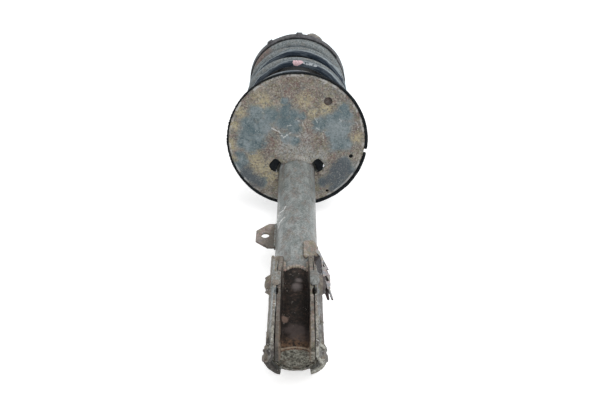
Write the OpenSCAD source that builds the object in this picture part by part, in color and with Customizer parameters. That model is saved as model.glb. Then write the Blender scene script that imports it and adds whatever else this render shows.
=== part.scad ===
// Front strut assembly: twin-tube damper, offset coil spring and top mount with its bearing.
// The damper's axis is the Y axis. +Y points to the top mount, and the origin is the centre of
// the mount's tower face. +Z is the side to which the knuckle bracket's ears open.

/* [Damper] */
// Outside radius of the strut tube
tube_r = 22.5; // [22:0.5:23.5]
// Wall of the strut tube
tube_wall = 2; // [1.5:0.1:2.5]
// Distance from the tower face down to the spring seat, along the damper
seat_drop = 355; // [350:1:365]
// Length of tube below the spring seat
tube_below_seat = 290; // [288:1:296]
// Length of tube above the spring seat
tube_above_seat = 100; // [95:1:104]
// Radius of the piston rod
rod_r = 10; // [9:0.5:10.5]
// Inside radius of the working cylinder
bore_r = 15; // [14.5:0.1:15.5]
// Stroke from full extension until the bump stop meets the tube's cap
stroke = 140; // [120:1:145]

/* [Lower spring seat] */
// Tilt of the seat against the damper
seat_tilt = 9.8; // [8:0.1:11]
// Distance of the seat's centre from the damper's axis
seat_offset = 46.3; // [44:0.1:48]
// Radius of the steel dish
seat_r = 82.5; // [80:0.5:85]
// Sheet thickness of the dish
seat_t = 3; // [2.5:0.1:3.5]
// Thickness of the rubber round the dish
rubber_t = 4; // [3.5:0.1:4.5]

/* [Coil spring] */
// Radius of the spring wire
wire_r = 6.5; // [6:0.1:6.6]
// Radius of the coil at the middle of the wire
coil_r = 67.5; // [66:0.1:67.5]
// Distance of the coil's lower end from the damper's axis
coil_offset = 35; // [33:0.5:36]
// Height of the upper seat's centre over the damper's axis
top_offset = -7; // [-8:0.5:-4]
// Sideways bow of the coil at half its length
coil_bow = 6; // [0:0.5:7]

/* [Knuckle bracket] */
// Clear width between the ears
slot_w = 24.5; // [22:0.5:25]
// Thickness of the inner plate
inner_t = 4.5; // [3.5:0.1:4.7]
// Thickness of the outer plate
outer_t = 3; // [2.5:0.1:3.5]
// Radius of the two bolt holes
bolt_r = 6.3; // [6.1:0.1:7.6]
// Height of the bolts over the damper's axis
bolt_z = 37; // [36:0.5:38]
// Distance of the upper bolt below the spring seat
upper_bolt = 241; // [238:1:244]
// Distance of the lower bolt below the spring seat
lower_bolt = 309; // [306:1:311]
// Height of the ears' free edges over the damper's axis
ear_z = 54; // [52:1:56]

/* [Hose tab] */
// Distance of the tab's hole from the damper's axis
tab_hole_x = 34.1; // [33:0.1:35]
// Radius of the tab's hole
tab_hole_r = 4.5; // [3:0.1:5]

/* [Top mount] */
// Radius of the circle of studs
stud_circle_r = 47; // [46:0.5:48]
// Radius of a stud
stud_r = 4; // [3.5:0.5:4]
// Length of a stud over the tower face
stud_len = 22; // [15:1:30]
// Angle of the first lobe from +Z towards +X
lobe_turn = 36; // [0:1:60]
// Thickness of the mount's plate
plate_t = 3; // [2.5:0.1:3.5]

/* [Hidden] */
$fn = 96;

fit = 0.05;                 // radial gap of a close fit
free = 0.3;                 // gap between pieces that move past each other
cut = 1;                    // how far a cutter runs past what it cuts

seat_y = -seat_drop;
tube_low = seat_y - tube_below_seat;
tube_high = seat_y + tube_above_seat;
tube_in_r = tube_r - tube_wall;
plug_r = tube_in_r - fit;   // radius of what fits inside the tube

// Lower seat
seat_rim = 5;               // height of the dish's rim
neck_high = 20;
neck_t = 3.5;
// Window beside the neck, as [sideways, along the dish]
window = [[34.6, 13], [33.4, 16.5], [28.5, 22.4], [24, 22.6], [17.5, 15], [19.5, 9], [23.8, 3.2], [32, 7.6]];
window_high = 9;            // height of the windows in the neck
rubber_shift = [0.9, -1];   // the rubber sits off centre on the dish, sideways and along its slope
seat_holes = [[37.7, seat_offset + 50, 5], [67.1, seat_offset - 20, 2.5], [38.3, seat_offset - 67, 2]];
rubber_lap = 0.8;           // how far the rubber reaches in front of the dish
tear_w = 5.5;               // tear through the rubber's rim
tear_along = -16;           // from the dish's centre
// Split in the rubber behind one window, as [sideways, along the dish]
split = [[31.5, 5], [36.5, 4.5], [38, 15], [34.6, 15], [33.6, 9.5]];

// Upper seat, from the tower face downwards
pan_t = 2.5;                // sheet of the upper spring seat
pan_mid_y = -25;            // upper face of the pan's raised middle
pan_boss_y = -21;           // where the pan meets the bearing
pan_rim_y = -48.5;          // upper face of the pan's rim
ring_y = pan_rim_y - pan_t; // where the upper insulator starts
ring_r = 77;                // outside radius of the upper insulator
ring_t = 3.5;               // rubber between the pan and the coil

// Winding, counted in turns from the first time that the wire passes its highest point
wire_rise = seat_t + rubber_t - 0.5 + wire_r + fit;
low_y = seat_y + coil_offset * sin(seat_tilt) + wire_rise * cos(seat_tilt);
low_z = coil_offset * cos(seat_tilt) - wire_rise * sin(seat_tilt);
high_y = ring_y - ring_t - wire_r - fit;
first_turn = -0.75;
lift_turn = -0.05;
land_turn = 4.36;
last_turn = 5.1;
ease_turn = 0.2;
rings_per_turn = 24;
wire_sides = 8;

// Knuckle bracket
inner_x = slot_w / 2 + inner_t;
outer_x = inner_x + outer_t;
shell_r = tube_r + outer_t;
// How far the outer plate has drawn in towards the ears, and at which height
lean = [[0, 0], [0.2, 12], [0.8, 24], [shell_r - outer_x, 40]];
shell_low = seat_y - 296;
web_r = tube_r + 3.5;
web_top = seat_y - 201;
web_low = seat_y - 306;
ear_top = seat_y - 181;
ear_front_top = seat_y - 226;
ear_front_low = seat_y - 331;
boss_high = 8.6;              // height of the upper bolt's boss over the ear
boss_high_r = 12.5;
boss_low = 5;               // height of the lower bolt's boss over the ear
boss_low_r = 11.5;
// A boss's taper as shares of its width and of its height
boss_taper = [[1, 0], [0.8, 0.15], [0.56, 0.38], [0.34, 0.62], [0.15, 0.83], [0, 1]];
boss_rim = 0.3;             // width of the flat rim round a bolt hole
foot_gap = 27;
foot_flare = 3;             // how far the shell's lower edge turns outwards
foot_h = 12;                // length of the flared edge
notch_r = 1.7;              // relief notches below the welds
notch_y = seat_y - 268;
notch_len = 5;
pad_r = 5.2;
pad_sink = 2.8;             // depth of the pads' round below the ears' edges
pad_low = seat_y - 256;
pad_high = seat_y - 244.5;

// Hose tab and wire bracket
tab_t = 3;
tab_hole_drop = 121.2;      // distance of the tab's hole below the spring seat
// Outline of the tab, as [distance from the axis, drop below the seat]
tab_outline = [[tube_in_r, 101], [31, 101], [44.4, 113], [44.4, 131], [31, 142], [tube_in_r, 142]];
foot_high = seat_y - 150.5; // foot of the wire bracket, on the tube
foot_low = seat_y - 184.5;
foot_t = 2.4;
// Sides and slanting ends of the foot, as [x, drop below the seat]
foot_edge = [
    [7.6, 160], [9.8, 157], [13.5, 154.5], [17.2, 151], [26, 151], [26, 177.5],
    [16, 177.5], [13.2, 179.5], [10.1, 184.4], [7.6, 182]
];
arm_z = 8;
arm_t = 2;
ladder_z = 13;              // height of the arm's raised outer strip
// Outer and inner edges of the strip, as [x, drop below the seat]
ladder_out = [[20, 156], [24.8, 166], [28.5, 180], [31.3, 188], [33.9, 197], [33.9, 215], [33, 222]];
ladder_in = [[30.2, 222], [29.4, 214], [25.9, 201], [25.6, 179.5], [22.9, 171], [17, 160]];
riser_w = 1.5;              // wall between the arm and its raised strip
arm_side = 25.6;            // edge of the arm beside the bracket
ladder_slots = [[27.8, 186], [32.6, 197], [30, 207]];
ladder_slot = [2.4, 8];
slot_lean = 18;
arm_root = 17.5;            // edge of the arm inside its foot
arm_high = 156;             // drops of the arm's ends below the seat
arm_low = 222;
prong_out = [[31, 221], [33.9, 236], [35.8, 236], [33, 221]];
prong_in = [[28, 221], [30.2, 231], [32.4, 231], [31.5, 221]];

// Damper's inner parts
cylinder_low = tube_low + 16;
cylinder_t = 1.3;           // wall of the working cylinder
valve_low = tube_low + 8;
valve_high = tube_low + 24;
flow_hole_r = 1.5;          // holes in the base valve and the piston
flow_turn = 60;             // angle between these holes
guide_y = tube_high - 25;   // reference face of the rod guide
guide_low = guide_y - 20;
guide_step = guide_y - 9.9; // where the guide widens from the cylinder to the tube
guide_high = guide_y + 12;
seal_high = guide_y + 24.9;
seal_step = guide_y + 17.9;
seal_lip_r = 12.5;
piston_h = 20;
piston_y = tube_high - 90;  // lower face of the piston at full extension
piston_top = piston_y + piston_h;
band_edge = 4;              // from the piston's faces to its band
band_t = 1.3;
tail_r = 6;                 // radius of the rod's lower end, through the piston
tail_nut_h = 8;
tail_nut_r = 10.4;
rod_low = piston_y - 10;
cap_t = 3;
cap_lip = 7;                // how far the cap reaches into the tube
cap_in_r = 16;
stop_h = 12;                // length of the rebound stop
stop_r = 13.5;
bump_low = tube_high + cap_t + stroke + free;

// Dust boot
boot_folds = 14;
boot_valley_r = 27;
boot_peak_r = 32;
boot_t = 1.6;
boot_fold_low = tube_high - 2;
boot_fold_high = pan_mid_y - pan_t - 6;

// Bearing and top mount
rod_stud_r = 7;             // radius of the rod's threaded end
rod_high = 12;              // upper end of the rod over the tower face
ball_r = 3.3;
ball_gap = 0.3;
ball_circle_r = 16.25;
ball_count = 9;
cage_t = 2.1;
cage_half = 4.5;            // half the cage's length
bearing_y = -14;
bearing_half = 6;
race_r = 23;                // outside radius of the bearing
race_t = 4.5;
inner_race_r = 14;
hub_t = 2.5;                // sheet of the hub round the bearing
hub_r = race_r + hub_t;
hub_low = bearing_y - bearing_half - 1.2;
nut_y = bearing_y + bearing_half + hub_t;
rubber_low = bearing_y - 5; // lower face of the mount's rubber
nut_h = 12;
washer_r = 13;
skirt_r = 36;               // inside radius of the plate's skirt round the rubber
skirt_t = 2.5;
plate_r = 50;
lobe_r = 14;                // rounding of a lobe's two corners
lobe_half = 3;              // from a lobe's middle to the centre of a corner
lobe_root = 31;             // half the width of a lobe where it leaves the plate
plate_hole_r = 30;
lobe_out = 44.3;            // distance of the corners' centres from the axis
knurl_r = stud_r + 0.6;     // part of a stud that is pressed into the plate
lobe_count = 3;

// Revolves a profile of [radius, y] points about Y
module turned(points) {
    rotate([-90, 0, 0]) rotate_extrude() polygon(points);
}

// A cylinder or tube along Y
module barrel(y0, y1, outer, inner = 0) {
    turned([[inner, y0], [outer, y0], [outer, y1], [inner, y1]]);
}

// Extrudes a profile of [x, z] points from y0 to y1
module prism_y(y0, y1) {
    translate([0, y1, 0]) rotate([90, 0, 0]) linear_extrude(y1 - y0) children();
}

// Extrudes a profile of [y, z] points from x0 to x1
module prism_x(x0, x1) {
    translate([x0, 0, 0]) rotate([90, 0, 90]) linear_extrude(x1 - x0) children();
}

// Draws its children on both sides of the damper
module both_sides() {
    children();
    mirror([1, 0, 0]) children();
}

// Places its children in the seat's plane, with +Y towards the spring
module on_seat() {
    translate([0, seat_y, 0]) rotate([-seat_tilt, 0, 0]) children();
}

// Places its children on the circle of lobes
module at_lobes() {
    for (i = [0:lobe_count - 1]) rotate([0, lobe_turn + i * 360 / lobe_count, 0])
        translate([0, 0, stud_circle_r]) children();
}

// ---- Strut body ----

module strut_tube() {
    color("slategray") barrel(tube_low, tube_high, tube_r, tube_in_r);
}

module bottom_cap() {
    color("darkslategray") turned([
        [0, tube_low - 2.5], [9, tube_low - 2.2], [15, tube_low - 1], [plug_r, tube_low + 1],
        [plug_r, tube_low + 4.5], [15, tube_low + 2.5], [9, tube_low + 1.3], [0, tube_low + 1]
    ]);
}

// Outline of the ears and the shell seen from the side, as [y, z]
module ear_outline(inset = 0) {
    polygon([
        [ear_top - inset, -shell_r - cut], [ear_top - inset, tube_r],
        [ear_front_top - inset, ear_z - 5], [ear_front_top - 6 - inset, ear_z - inset],
        [ear_front_low + 6 + inset, ear_z - inset], [ear_front_low + inset, ear_z - 6],
        [ear_front_low + 4 + inset, bolt_z - 6], [shell_low - 1 + inset, 0],
        [shell_low + 3 + inset, -tube_r], [shell_low + 3 + inset, -shell_r - cut]
    ]);
}

// Right half of a plate's outline that hugs radius r and then draws in to the ear
function ear_side(r) = concat([for (p = lean) [r - p[0], p[1]]], [[r - lean[3][0], ear_z + cut]]);
function mirrored(points) = [for (i = [len(points) - 1:-1:0]) [-points[i][0], points[i][1]]];

// Section of the outer plate: round at the back, drawn in to the ears at the front
module shell_section(grow = 0) {
    difference() {
        union() {
            circle(shell_r + grow);
            polygon(concat(ear_side(shell_r + grow), mirrored(ear_side(shell_r + grow))));
        }
        circle(tube_r + fit);
        polygon(concat(ear_side(tube_r + fit), mirrored(ear_side(tube_r + fit))));
    }
}

// A strip of the shell's outline along its lower edge
module foot_strip(height) {
    polygon([
        [shell_low + 3, -shell_r - 2 * foot_flare], [shell_low - 1, 0], [ear_front_low + 4, bolt_z - 6],
        [ear_front_low + 4 + height, bolt_z - 6], [shell_low - 1 + height, 0],
        [shell_low + 3 + height, -shell_r - 2 * foot_flare]
    ]);
}

// A raised boss on the outside of one ear: it tapers to a narrow rim round the bolt's hole
module ear_boss(drop, base_r, height) {
    rim_r = bolt_r + boss_rim;
    translate([outer_x, seat_y - drop, bolt_z]) rotate([0, 90, 0]) rotate_extrude()
        polygon(concat(
            [[0, -cut], [base_r, -cut]],
            [for (share = boss_taper) [rim_r + (base_r - rim_r) * share[0], height * share[1]]],
            [[0, height]]
        ));
}

// Cutters for both bolt holes, right across the bracket
module bolt_holes() {
    for (drop = [upper_bolt, lower_bolt])
        translate([-outer_x - boss_high - cut, seat_y - drop, bolt_z]) rotate([0, 90, 0])
            cylinder(h = 2 * (outer_x + boss_high + cut), r = bolt_r);
}

// Cutters for the relief notches in the seam between both plates
module relief_notches() {
    both_sides() translate([inner_x, notch_y, ear_z - 7]) linear_extrude(10) {
        circle(notch_r);
        translate([-notch_r, 0]) square([2 * notch_r, notch_len]);
        translate([0, notch_len]) circle(notch_r);
    }
}

module knuckle_bracket_outer() {
    reach = shell_r + 2 * foot_flare;
    color("dimgray") difference() {
        union() {
            intersection() {
                prism_y(ear_front_low, ear_top) shell_section();
                prism_x(-reach, reach) ear_outline();
            }
            // Lower edge, flared in two steps
            for (step = [[foot_flare / 2, foot_h], [foot_flare, foot_h / 2]]) intersection() {
                prism_y(ear_front_low, ear_top) shell_section(step[0]);
                prism_x(-reach, reach) foot_strip(step[1]);
            }
            both_sides() ear_boss(upper_bolt, boss_high_r, boss_high);
            both_sides() ear_boss(lower_bolt, boss_low_r, boss_low);
        }
        bolt_holes();
        relief_notches();
        // Gap between the two feet at the lower back
        translate([-foot_gap / 2, shell_low - 5, -reach]) cube([foot_gap, 14, reach / 2]);
    }
}

module knuckle_bracket_inner() {
    color("saddlebrown") difference() {
        intersection() {
            union() {
                // Web over the front of the tube, arched at its upper edge
                intersection() {
                    prism_y(web_low, web_top) difference() {
                        intersection() {
                            circle(web_r);
                            translate([-inner_x, 0]) square([2 * inner_x, web_r]);
                        }
                        circle(tube_r + fit);
                    }
                    linear_extrude(web_r) {
                        translate([0, web_top - inner_x]) circle(inner_x);
                        translate([-inner_x, web_low])
                            square([2 * inner_x, web_top - inner_x - web_low]);
                    }
                }
                both_sides() prism_y(ear_front_low, ear_top) difference() {
                    translate([slot_w / 2, 0]) square([inner_t, ear_z]);
                    circle(tube_r + fit);
                }
            }
            prism_x(-inner_x - cut, inner_x + cut) ear_outline(1);
        }
        bolt_holes();
        relief_notches();
    }
}

// Weld pads over the seam between both plates, at the shoulders of the ears
module bracket_welds() {
    color("gray") both_sides() intersection() {
        translate([inner_x + fit, 0, ear_z - pad_sink]) {
            barrel(pad_low, pad_high, pad_r);
            translate([0, pad_low, 0]) sphere(pad_r);
            translate([0, pad_high, 0]) sphere(pad_r);
        }
        translate([0, pad_low - pad_r, ear_z + fit])
            cube([2 * outer_x, pad_high - pad_low + 2 * pad_r, pad_r]);
    }
}

// Cutters for the windows beside the tube, from under the dish to this height over it
module seat_windows(height) {
    both_sides() prism_y(-cut, height + cut) polygon(window);
}

module lower_spring_seat() {
    color("cadetblue") {
        difference() {
            on_seat() difference() {
                translate([0, 0, seat_offset]) turned([
                    [0, 0], [seat_r - 2, 0], [seat_r, 1.5], [seat_r, seat_rim], [seat_r - 3, seat_rim],
                    [seat_r - 4.5, seat_t], [0, seat_t]
                ]);
                seat_windows(seat_t);
                // Locating hole and two drain holes
                for (hole = seat_holes) translate([hole[0], 0, hole[1]])
                    barrel(-cut, seat_t + cut, hole[2]);
            }
            barrel(seat_y - 2 * tube_r, seat_y + 2 * tube_r, tube_r + fit);
        }
        // Neck drawn up round the tube on the spring's side, open at the windows
        difference() {
            intersection() {
                barrel(seat_y - tube_r, seat_y + neck_high, tube_r + neck_t, tube_r + fit);
                on_seat() translate([-2 * tube_r, seat_t / 2, -2 * tube_r]) cube(4 * tube_r);
            }
            on_seat() seat_windows(window_high);
        }
    }
}

module lower_insulator() {
    high = seat_t + rubber_t - 0.5;
    outer = seat_r + rubber_t;
    color("black") difference() {
        on_seat() difference() {
            translate([rubber_shift[0], 0, seat_offset + rubber_shift[1]]) turned([
                [0, -rubber_lap], [outer - 1, -rubber_lap], [outer, 0.5], [outer, high - 1.5],
                [outer - 1.5, high],
                [0, high]
            ]);
            // The dish that it is pulled over
            translate([0, 0, seat_offset]) turned([
                [0, -cut], [seat_r + fit, -cut], [seat_r + fit, seat_rim + fit],
                [seat_r - 3.1, seat_rim + fit], [seat_r - 4.6, seat_t + fit], [0, seat_t + fit]
            ]);
            // Tear through the rim, and the split at the window
            translate([seat_r - 6, -2, seat_offset + tear_along]) cube([12, 2 * high, tear_w]);
            prism_y(0, high + cut) polygon(split);
        }
        // Room for the tube's neck
        barrel(seat_y - tube_r, seat_y + tube_r, tube_r + neck_t + free);
    }
}

module brake_hose_tab() {
    color("sienna") difference() {
        translate([0, seat_y, -tab_t / 2]) linear_extrude(tab_t)
            polygon([for (p = tab_outline) [-p[0], -p[1]]]);
        barrel(tube_low, seat_y, tube_r + fit);
        translate([-tab_hole_x, seat_y - tab_hole_drop, -tab_t])
            cylinder(h = 2 * tab_t, r = tab_hole_r);
    }
}

// Points [x, drop] as places below the seat
function below_seat(points) = [for (p = points) [p[0], -p[1]]];

module sensor_wire_bracket() {
    color("rosybrown") difference() {
        union() {
            // Foot that follows the tube
            intersection() {
                barrel(foot_low, foot_high, tube_r + foot_t);
                translate([0, seat_y, arm_z]) linear_extrude(tube_r) polygon(below_seat(foot_edge));
            }
            // Arm that runs down past the ear
            translate([0, seat_y, arm_z]) linear_extrude(arm_t) polygon(below_seat(concat(
                [[arm_root, arm_high]], ladder_out, [[arm_side + 1.5, arm_low], [arm_side, arm_low - 8],
                [arm_side, 179.5], [arm_root + 2, 170]]
            )));
            // Raised strip with slots, and the wall that carries it
            translate([0, seat_y, ladder_z]) linear_extrude(arm_t) difference() {
                polygon(below_seat(concat(ladder_out, ladder_in)));
                for (place = ladder_slots) translate([place[0], -place[1]]) rotate(slot_lean)
                    square(ladder_slot, center = true);
            }
            translate([0, seat_y, arm_z]) linear_extrude(ladder_z - arm_z + arm_t / 2)
                polygon(below_seat(concat(
                    ladder_in, [for (i = [len(ladder_in) - 1:-1:0]) ladder_in[i] + [riser_w, 0]]
                )));
            // Two prongs at its lower end
            translate([0, seat_y, ladder_z]) linear_extrude(arm_t)
                polygon(below_seat(prong_out));
            translate([0, seat_y, arm_z]) linear_extrude(arm_t)
                polygon(below_seat(prong_in));
        }
        barrel(foot_low - cut, foot_high + cut, tube_r + fit);
    }
}

module inner_tube() {
    color("silver") barrel(cylinder_low, guide_step - fit, bore_r + cylinder_t, bore_r);
}

module base_valve() {
    color("goldenrod") difference() {
        turned([
            [0, valve_low], [bore_r - 3, valve_low], [bore_r + cylinder_t, valve_low + 3],
            [bore_r + cylinder_t, cylinder_low - fit], [bore_r - fit, cylinder_low - fit],
            [bore_r - fit, valve_high], [0, valve_high]
        ]);
        for (a = [0:flow_turn:359]) rotate([0, a, 0]) translate([0, 0, bore_r / 2])
            barrel(valve_low - cut, valve_high + cut, flow_hole_r);
    }
}

module rod_guide() {
    color("tan") turned([
        [rod_r + fit, guide_low], [bore_r - fit, guide_low], [bore_r - fit, guide_step],
        [plug_r, guide_step], [plug_r, guide_high], [rod_r + fit, guide_high]
    ]);
}

module oil_seal() {
    color("black") turned([
        [rod_r + fit, guide_high + fit], [plug_r, guide_high + fit], [plug_r, seal_step],
        [cap_in_r - fit, seal_step], [cap_in_r - fit, seal_high], [seal_lip_r, seal_high],
        [rod_r + fit, seal_high - 3]
    ]);
}

module tube_cap() {
    color("dimgray") turned([
        [cap_in_r, tube_high - cap_lip], [plug_r, tube_high - cap_lip], [plug_r, tube_high + fit],
        [tube_r, tube_high + fit], [tube_r, tube_high + cap_t - 1], [tube_r - 1, tube_high + cap_t],
        [rod_r + 0.5, tube_high + cap_t], [rod_r + 0.5, tube_high + fit], [cap_in_r, tube_high + fit]
    ]);
}

// ---- Rod and spring ----

module piston_rod() {
    color("gainsboro") turned([
        [0, rod_low], [tail_r - 1, rod_low], [tail_r, rod_low + 1], [tail_r, piston_top + fit],
        [rod_r, piston_top + fit], [rod_r, pan_mid_y - pan_t - fit],
        [rod_stud_r, pan_mid_y - pan_t - fit], [rod_stud_r, rod_high - 1],
        [rod_stud_r - 1, rod_high], [0, rod_high]
    ]);
}

module piston() {
    color("darkgray") difference() {
        turned([
            [tail_r + fit, piston_y], [bore_r - free, piston_y], [bore_r - free, piston_y + band_edge],
            [bore_r - band_t, piston_y + band_edge], [bore_r - band_t, piston_top - band_edge],
            [bore_r - free, piston_top - band_edge], [bore_r - free, piston_top],
            [tail_r + fit, piston_top]
        ]);
        for (a = [0:flow_turn:359]) rotate([0, a, 0]) translate([0, 0, bore_r - 5])
            barrel(piston_y - cut, piston_top + cut, flow_hole_r);
    }
}

module piston_band() {
    color("seagreen") barrel(piston_y + band_edge + fit, piston_top - band_edge - fit, bore_r - fit,
        bore_r - band_t + fit);
}

module piston_nut() {
    color("gray") difference() {
        translate([0, piston_y - tail_nut_h, 0]) rotate([-90, 0, 0])
            cylinder(h = tail_nut_h - fit, r = tail_nut_r, $fn = 6);
        barrel(piston_y - tail_nut_h - cut, piston_y, tail_r + fit);
    }
}

module rebound_stop() {
    color("darkgray") barrel(guide_low - stop_h, guide_low - free, stop_r, rod_r + fit);
}

module bump_stop() {
    color("khaki") turned([
        [rod_r + 0.5, bump_low], [17, bump_low], [18.5, bump_low + 4], [18.5, bump_low + 14],
        [15.5, bump_low + 20], [15.5, bump_low + 24], [20.5, bump_low + 31],
        [20.5, bump_low + 43], [17, bump_low + 50], [17, bump_low + 54], [22.4, bump_low + 61],
        [22.4, pan_mid_y - pan_t - fit], [rod_r + 0.5, pan_mid_y - pan_t - fit]
    ]);
}

// Radius of the boot's outer face at the fold number i, counted from below
function fold_r(i) = i % 2 == 0 ? boot_valley_r : boot_peak_r;
function fold_y(i) = boot_fold_low + i * (boot_fold_high - boot_fold_low) / (2 * boot_folds);

module dust_boot() {
    last = 2 * boot_folds;
    color("dimgray") turned(concat(
        [[tube_r + free, boot_fold_low - 10], [tube_r + 3, boot_fold_low - 10]],
        [for (i = [0:last]) [fold_r(i), fold_y(i)]],
        [[boot_valley_r + 2, boot_fold_high + 1.5], [boot_valley_r + 2, pan_mid_y - pan_t - fit],
         [22.6, pan_mid_y - pan_t - fit], [22.6, boot_fold_high + 0.5]],
        [for (i = [last:-1:0]) [fold_r(i) - boot_t, fold_y(i)]],
        [[tube_r + free, boot_fold_low - 1]]
    ));
}

// Share of the way from the lower to the upper seat after n turns from the top of the coil
function bend(u) = u < -ease_turn ? 0 : u > ease_turn ? u : pow(u + ease_turn, 2) / (4 * ease_turn);
function rise(n) = (bend(n - lift_turn) - bend(n - land_turn)) / (land_turn - lift_turn);
// Point on the wire's centre line, and the direction away from the coil's middle there
function coil_mid(s) = [0, low_y + (high_y - low_y) * s,
    low_z + (top_offset - low_z) * s + 4 * coil_bow * s * (1 - s)];
function coil_out(n) = let (a = 90 + 360 * n, t = seat_tilt * (1 - rise(n)))
    [cos(a), sin(a) * sin(t), sin(a) * cos(t)];
function coil_at(n) = coil_mid(rise(n)) + coil_r * coil_out(n);
function coil_dir(n) = let (d = coil_at(n + 0.001) - coil_at(n - 0.001)) d / norm(d);
function ring_at(n) = let (side = cross(coil_dir(n), coil_out(n)), out = cross(side, coil_dir(n)))
    [for (k = [0:wire_sides - 1]) let (b = 360 * (k + 0.5) / wire_sides)
        coil_at(n) + wire_r * (cos(b) * out + sin(b) * side) / norm(side)];

module coil_spring() {
    steps = round((last_turn - first_turn) * rings_per_turn);
    turns = [for (i = [0:steps]) first_turn + (last_turn - first_turn) * i / steps];
    rings = [for (n = turns) ring_at(n)];
    skin = [for (i = [0:steps - 1], k = [0:wire_sides - 1])
        let (a = i * wire_sides + k, b = i * wire_sides + (k + 1) % wire_sides)
            each [[a, b, a + wire_sides], [b, b + wire_sides, a + wire_sides]]];
    low_end = [for (k = [1:wire_sides - 2]) [0, k + 1, k]];
    top = steps * wire_sides;
    high_end = [for (k = [1:wire_sides - 2]) [top, top + k, top + k + 1]];
    middle = [for (n = turns) coil_at(n)];
    apart = [for (i = [0:steps], j = [0:steps])
        if (j - i > rings_per_turn / 2) norm(middle[i] - middle[j])];
    echo(least_gap_of_the_coil_to_itself = min(apart) - 2 * wire_r);
    color("darkslateblue")
        polyhedron([for (ring = rings) each ring], concat(skin, low_end, high_end));
}

module upper_insulator() {
    color("black") translate([0, 0, top_offset]) {
        turned([
            [57, ring_y - 9], [60, ring_y - 9], [60.2, ring_y - ring_t], [ring_r - 2.6, ring_y - ring_t],
            [ring_r - 2.6, ring_y - 14.5], [ring_r - 0.8, ring_y - 15], [ring_r, ring_y - 14],
            [ring_r, ring_y - fit], [57, ring_y - fit]
        ]);
        // Lugs on the rim
        for (a = [-34, 2.4]) rotate([0, a, 0])
            translate([-4.5, ring_y - 8, ring_r - 1]) cube([9, 8, 3.5]);
        // Longer lip on one side
        intersection() {
            barrel(ring_y - 27, ring_y - 14, ring_r, ring_r - 2.6);
            prism_y(ring_y - 27, ring_y - 14)
                polygon([[0, 0], [90, 65], [90, -40]]);
        }
    }
}

module upper_spring_seat() {
    color("darkslategray") difference() {
        union() {
            translate([0, 0, top_offset]) turned([
                [0, pan_mid_y - pan_t], [47, pan_mid_y - pan_t], [56.5, ring_y], [76, ring_y],
                [76, pan_rim_y], [58.5, pan_rim_y], [49, pan_mid_y], [0, pan_mid_y]
            ]);
            barrel(pan_mid_y - pan_t, pan_boss_y, inner_race_r);
        }
        barrel(pan_mid_y - 2 * pan_t, 0, rod_stud_r + fit);
    }
}

// ---- Bearing ----

// The balls' track, as a ring with room round the balls
module ball_track() {
    translate([0, bearing_y, 0]) rotate([-90, 0, 0]) rotate_extrude()
        translate([ball_circle_r, 0]) circle(ball_r + ball_gap);
}

module bearing_inner_race() {
    color("silver") difference() {
        barrel(pan_boss_y + fit, bearing_y + bearing_half - fit, inner_race_r, rod_stud_r + fit);
        ball_track();
    }
}

module bearing_outer_race() {
    color("silver") difference() {
        barrel(bearing_y - bearing_half, bearing_y + bearing_half - fit, race_r, race_r - race_t);
        ball_track();
    }
}

module balls(r) {
    for (i = [0:ball_count - 1]) rotate([0, i * 360 / ball_count, 0])
        translate([0, bearing_y, ball_circle_r]) sphere(r);
}

module bearing_balls() {
    color("white") balls(ball_r);
}

module ball_cage() {
    color("gold") difference() {
        barrel(bearing_y - cage_half, bearing_y + cage_half, ball_circle_r + cage_t / 2,
            ball_circle_r - cage_t / 2);
        balls(ball_r + ball_gap);
    }
}

module rod_washer() {
    color("silver") barrel(bearing_y + bearing_half, nut_y - fit, washer_r, rod_stud_r + fit);
}

module rod_nut() {
    color("silver") difference() {
        translate([0, nut_y, 0]) rotate([-90, 0, 0])
            cylinder(h = nut_h, r = washer_r - free, $fn = 6);
        barrel(nut_y - cut, nut_y + nut_h + cut, rod_stud_r + fit);
    }
}

// ---- Top mount ----

module mount_hub() {
    color("dimgray") turned([
        [20, hub_low], [hub_r, hub_low], [hub_r, nut_y], [15, nut_y], [15, nut_y - hub_t],
        [race_r + fit, nut_y - hub_t], [race_r + fit, bearing_y - bearing_half - fit],
        [20, bearing_y - bearing_half - fit]
    ]);
}

module mount_rubber() {
    color("black") turned([
        [hub_r + fit, rubber_low], [29, rubber_low + 1.5], [33, rubber_low + 1.5],
        [skirt_r - fit, rubber_low], [skirt_r - fit, -plate_t - fit],
        [plate_hole_r - fit, -plate_t - fit], [plate_hole_r - fit, 1], [28.5, 2], [26.5, 1],
        [hub_r + fit, nut_y - 1]
    ]);
}

module mount_plate() {
    color("tan") difference() {
        union() {
            prism_y(-plate_t, 0) difference() {
                union() {
                    circle(plate_r);
                    for (i = [0:lobe_count - 1]) rotate(-lobe_turn - i * 360 / lobe_count) {
                        for (side = [-lobe_half, lobe_half]) translate([side, lobe_out]) circle(lobe_r);
                        polygon([
                            [-lobe_half, lobe_out + lobe_r], [-lobe_half - lobe_r, lobe_out],
                            [-lobe_root, skirt_r], [lobe_root, skirt_r],
                            [lobe_half + lobe_r, lobe_out], [lobe_half, lobe_out + lobe_r]
                        ]);
                    }
                }
                circle(plate_hole_r);
            }
            barrel(bearing_y - bearing_half, -plate_t, skirt_r + skirt_t, skirt_r);
        }
        at_lobes() barrel(-plate_t - cut, cut, knurl_r + fit);
    }
}

module tower_studs() {
    color("silver") at_lobes() turned([
        [0, -plate_t - 2.5], [6.5, -plate_t - 2.5], [6.5, -plate_t - fit], [knurl_r, -plate_t - fit],
        [knurl_r, 0], [stud_r, 0], [stud_r, stud_len - 1], [stud_r - 1, stud_len], [0, stud_len]
    ]);
}

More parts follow.
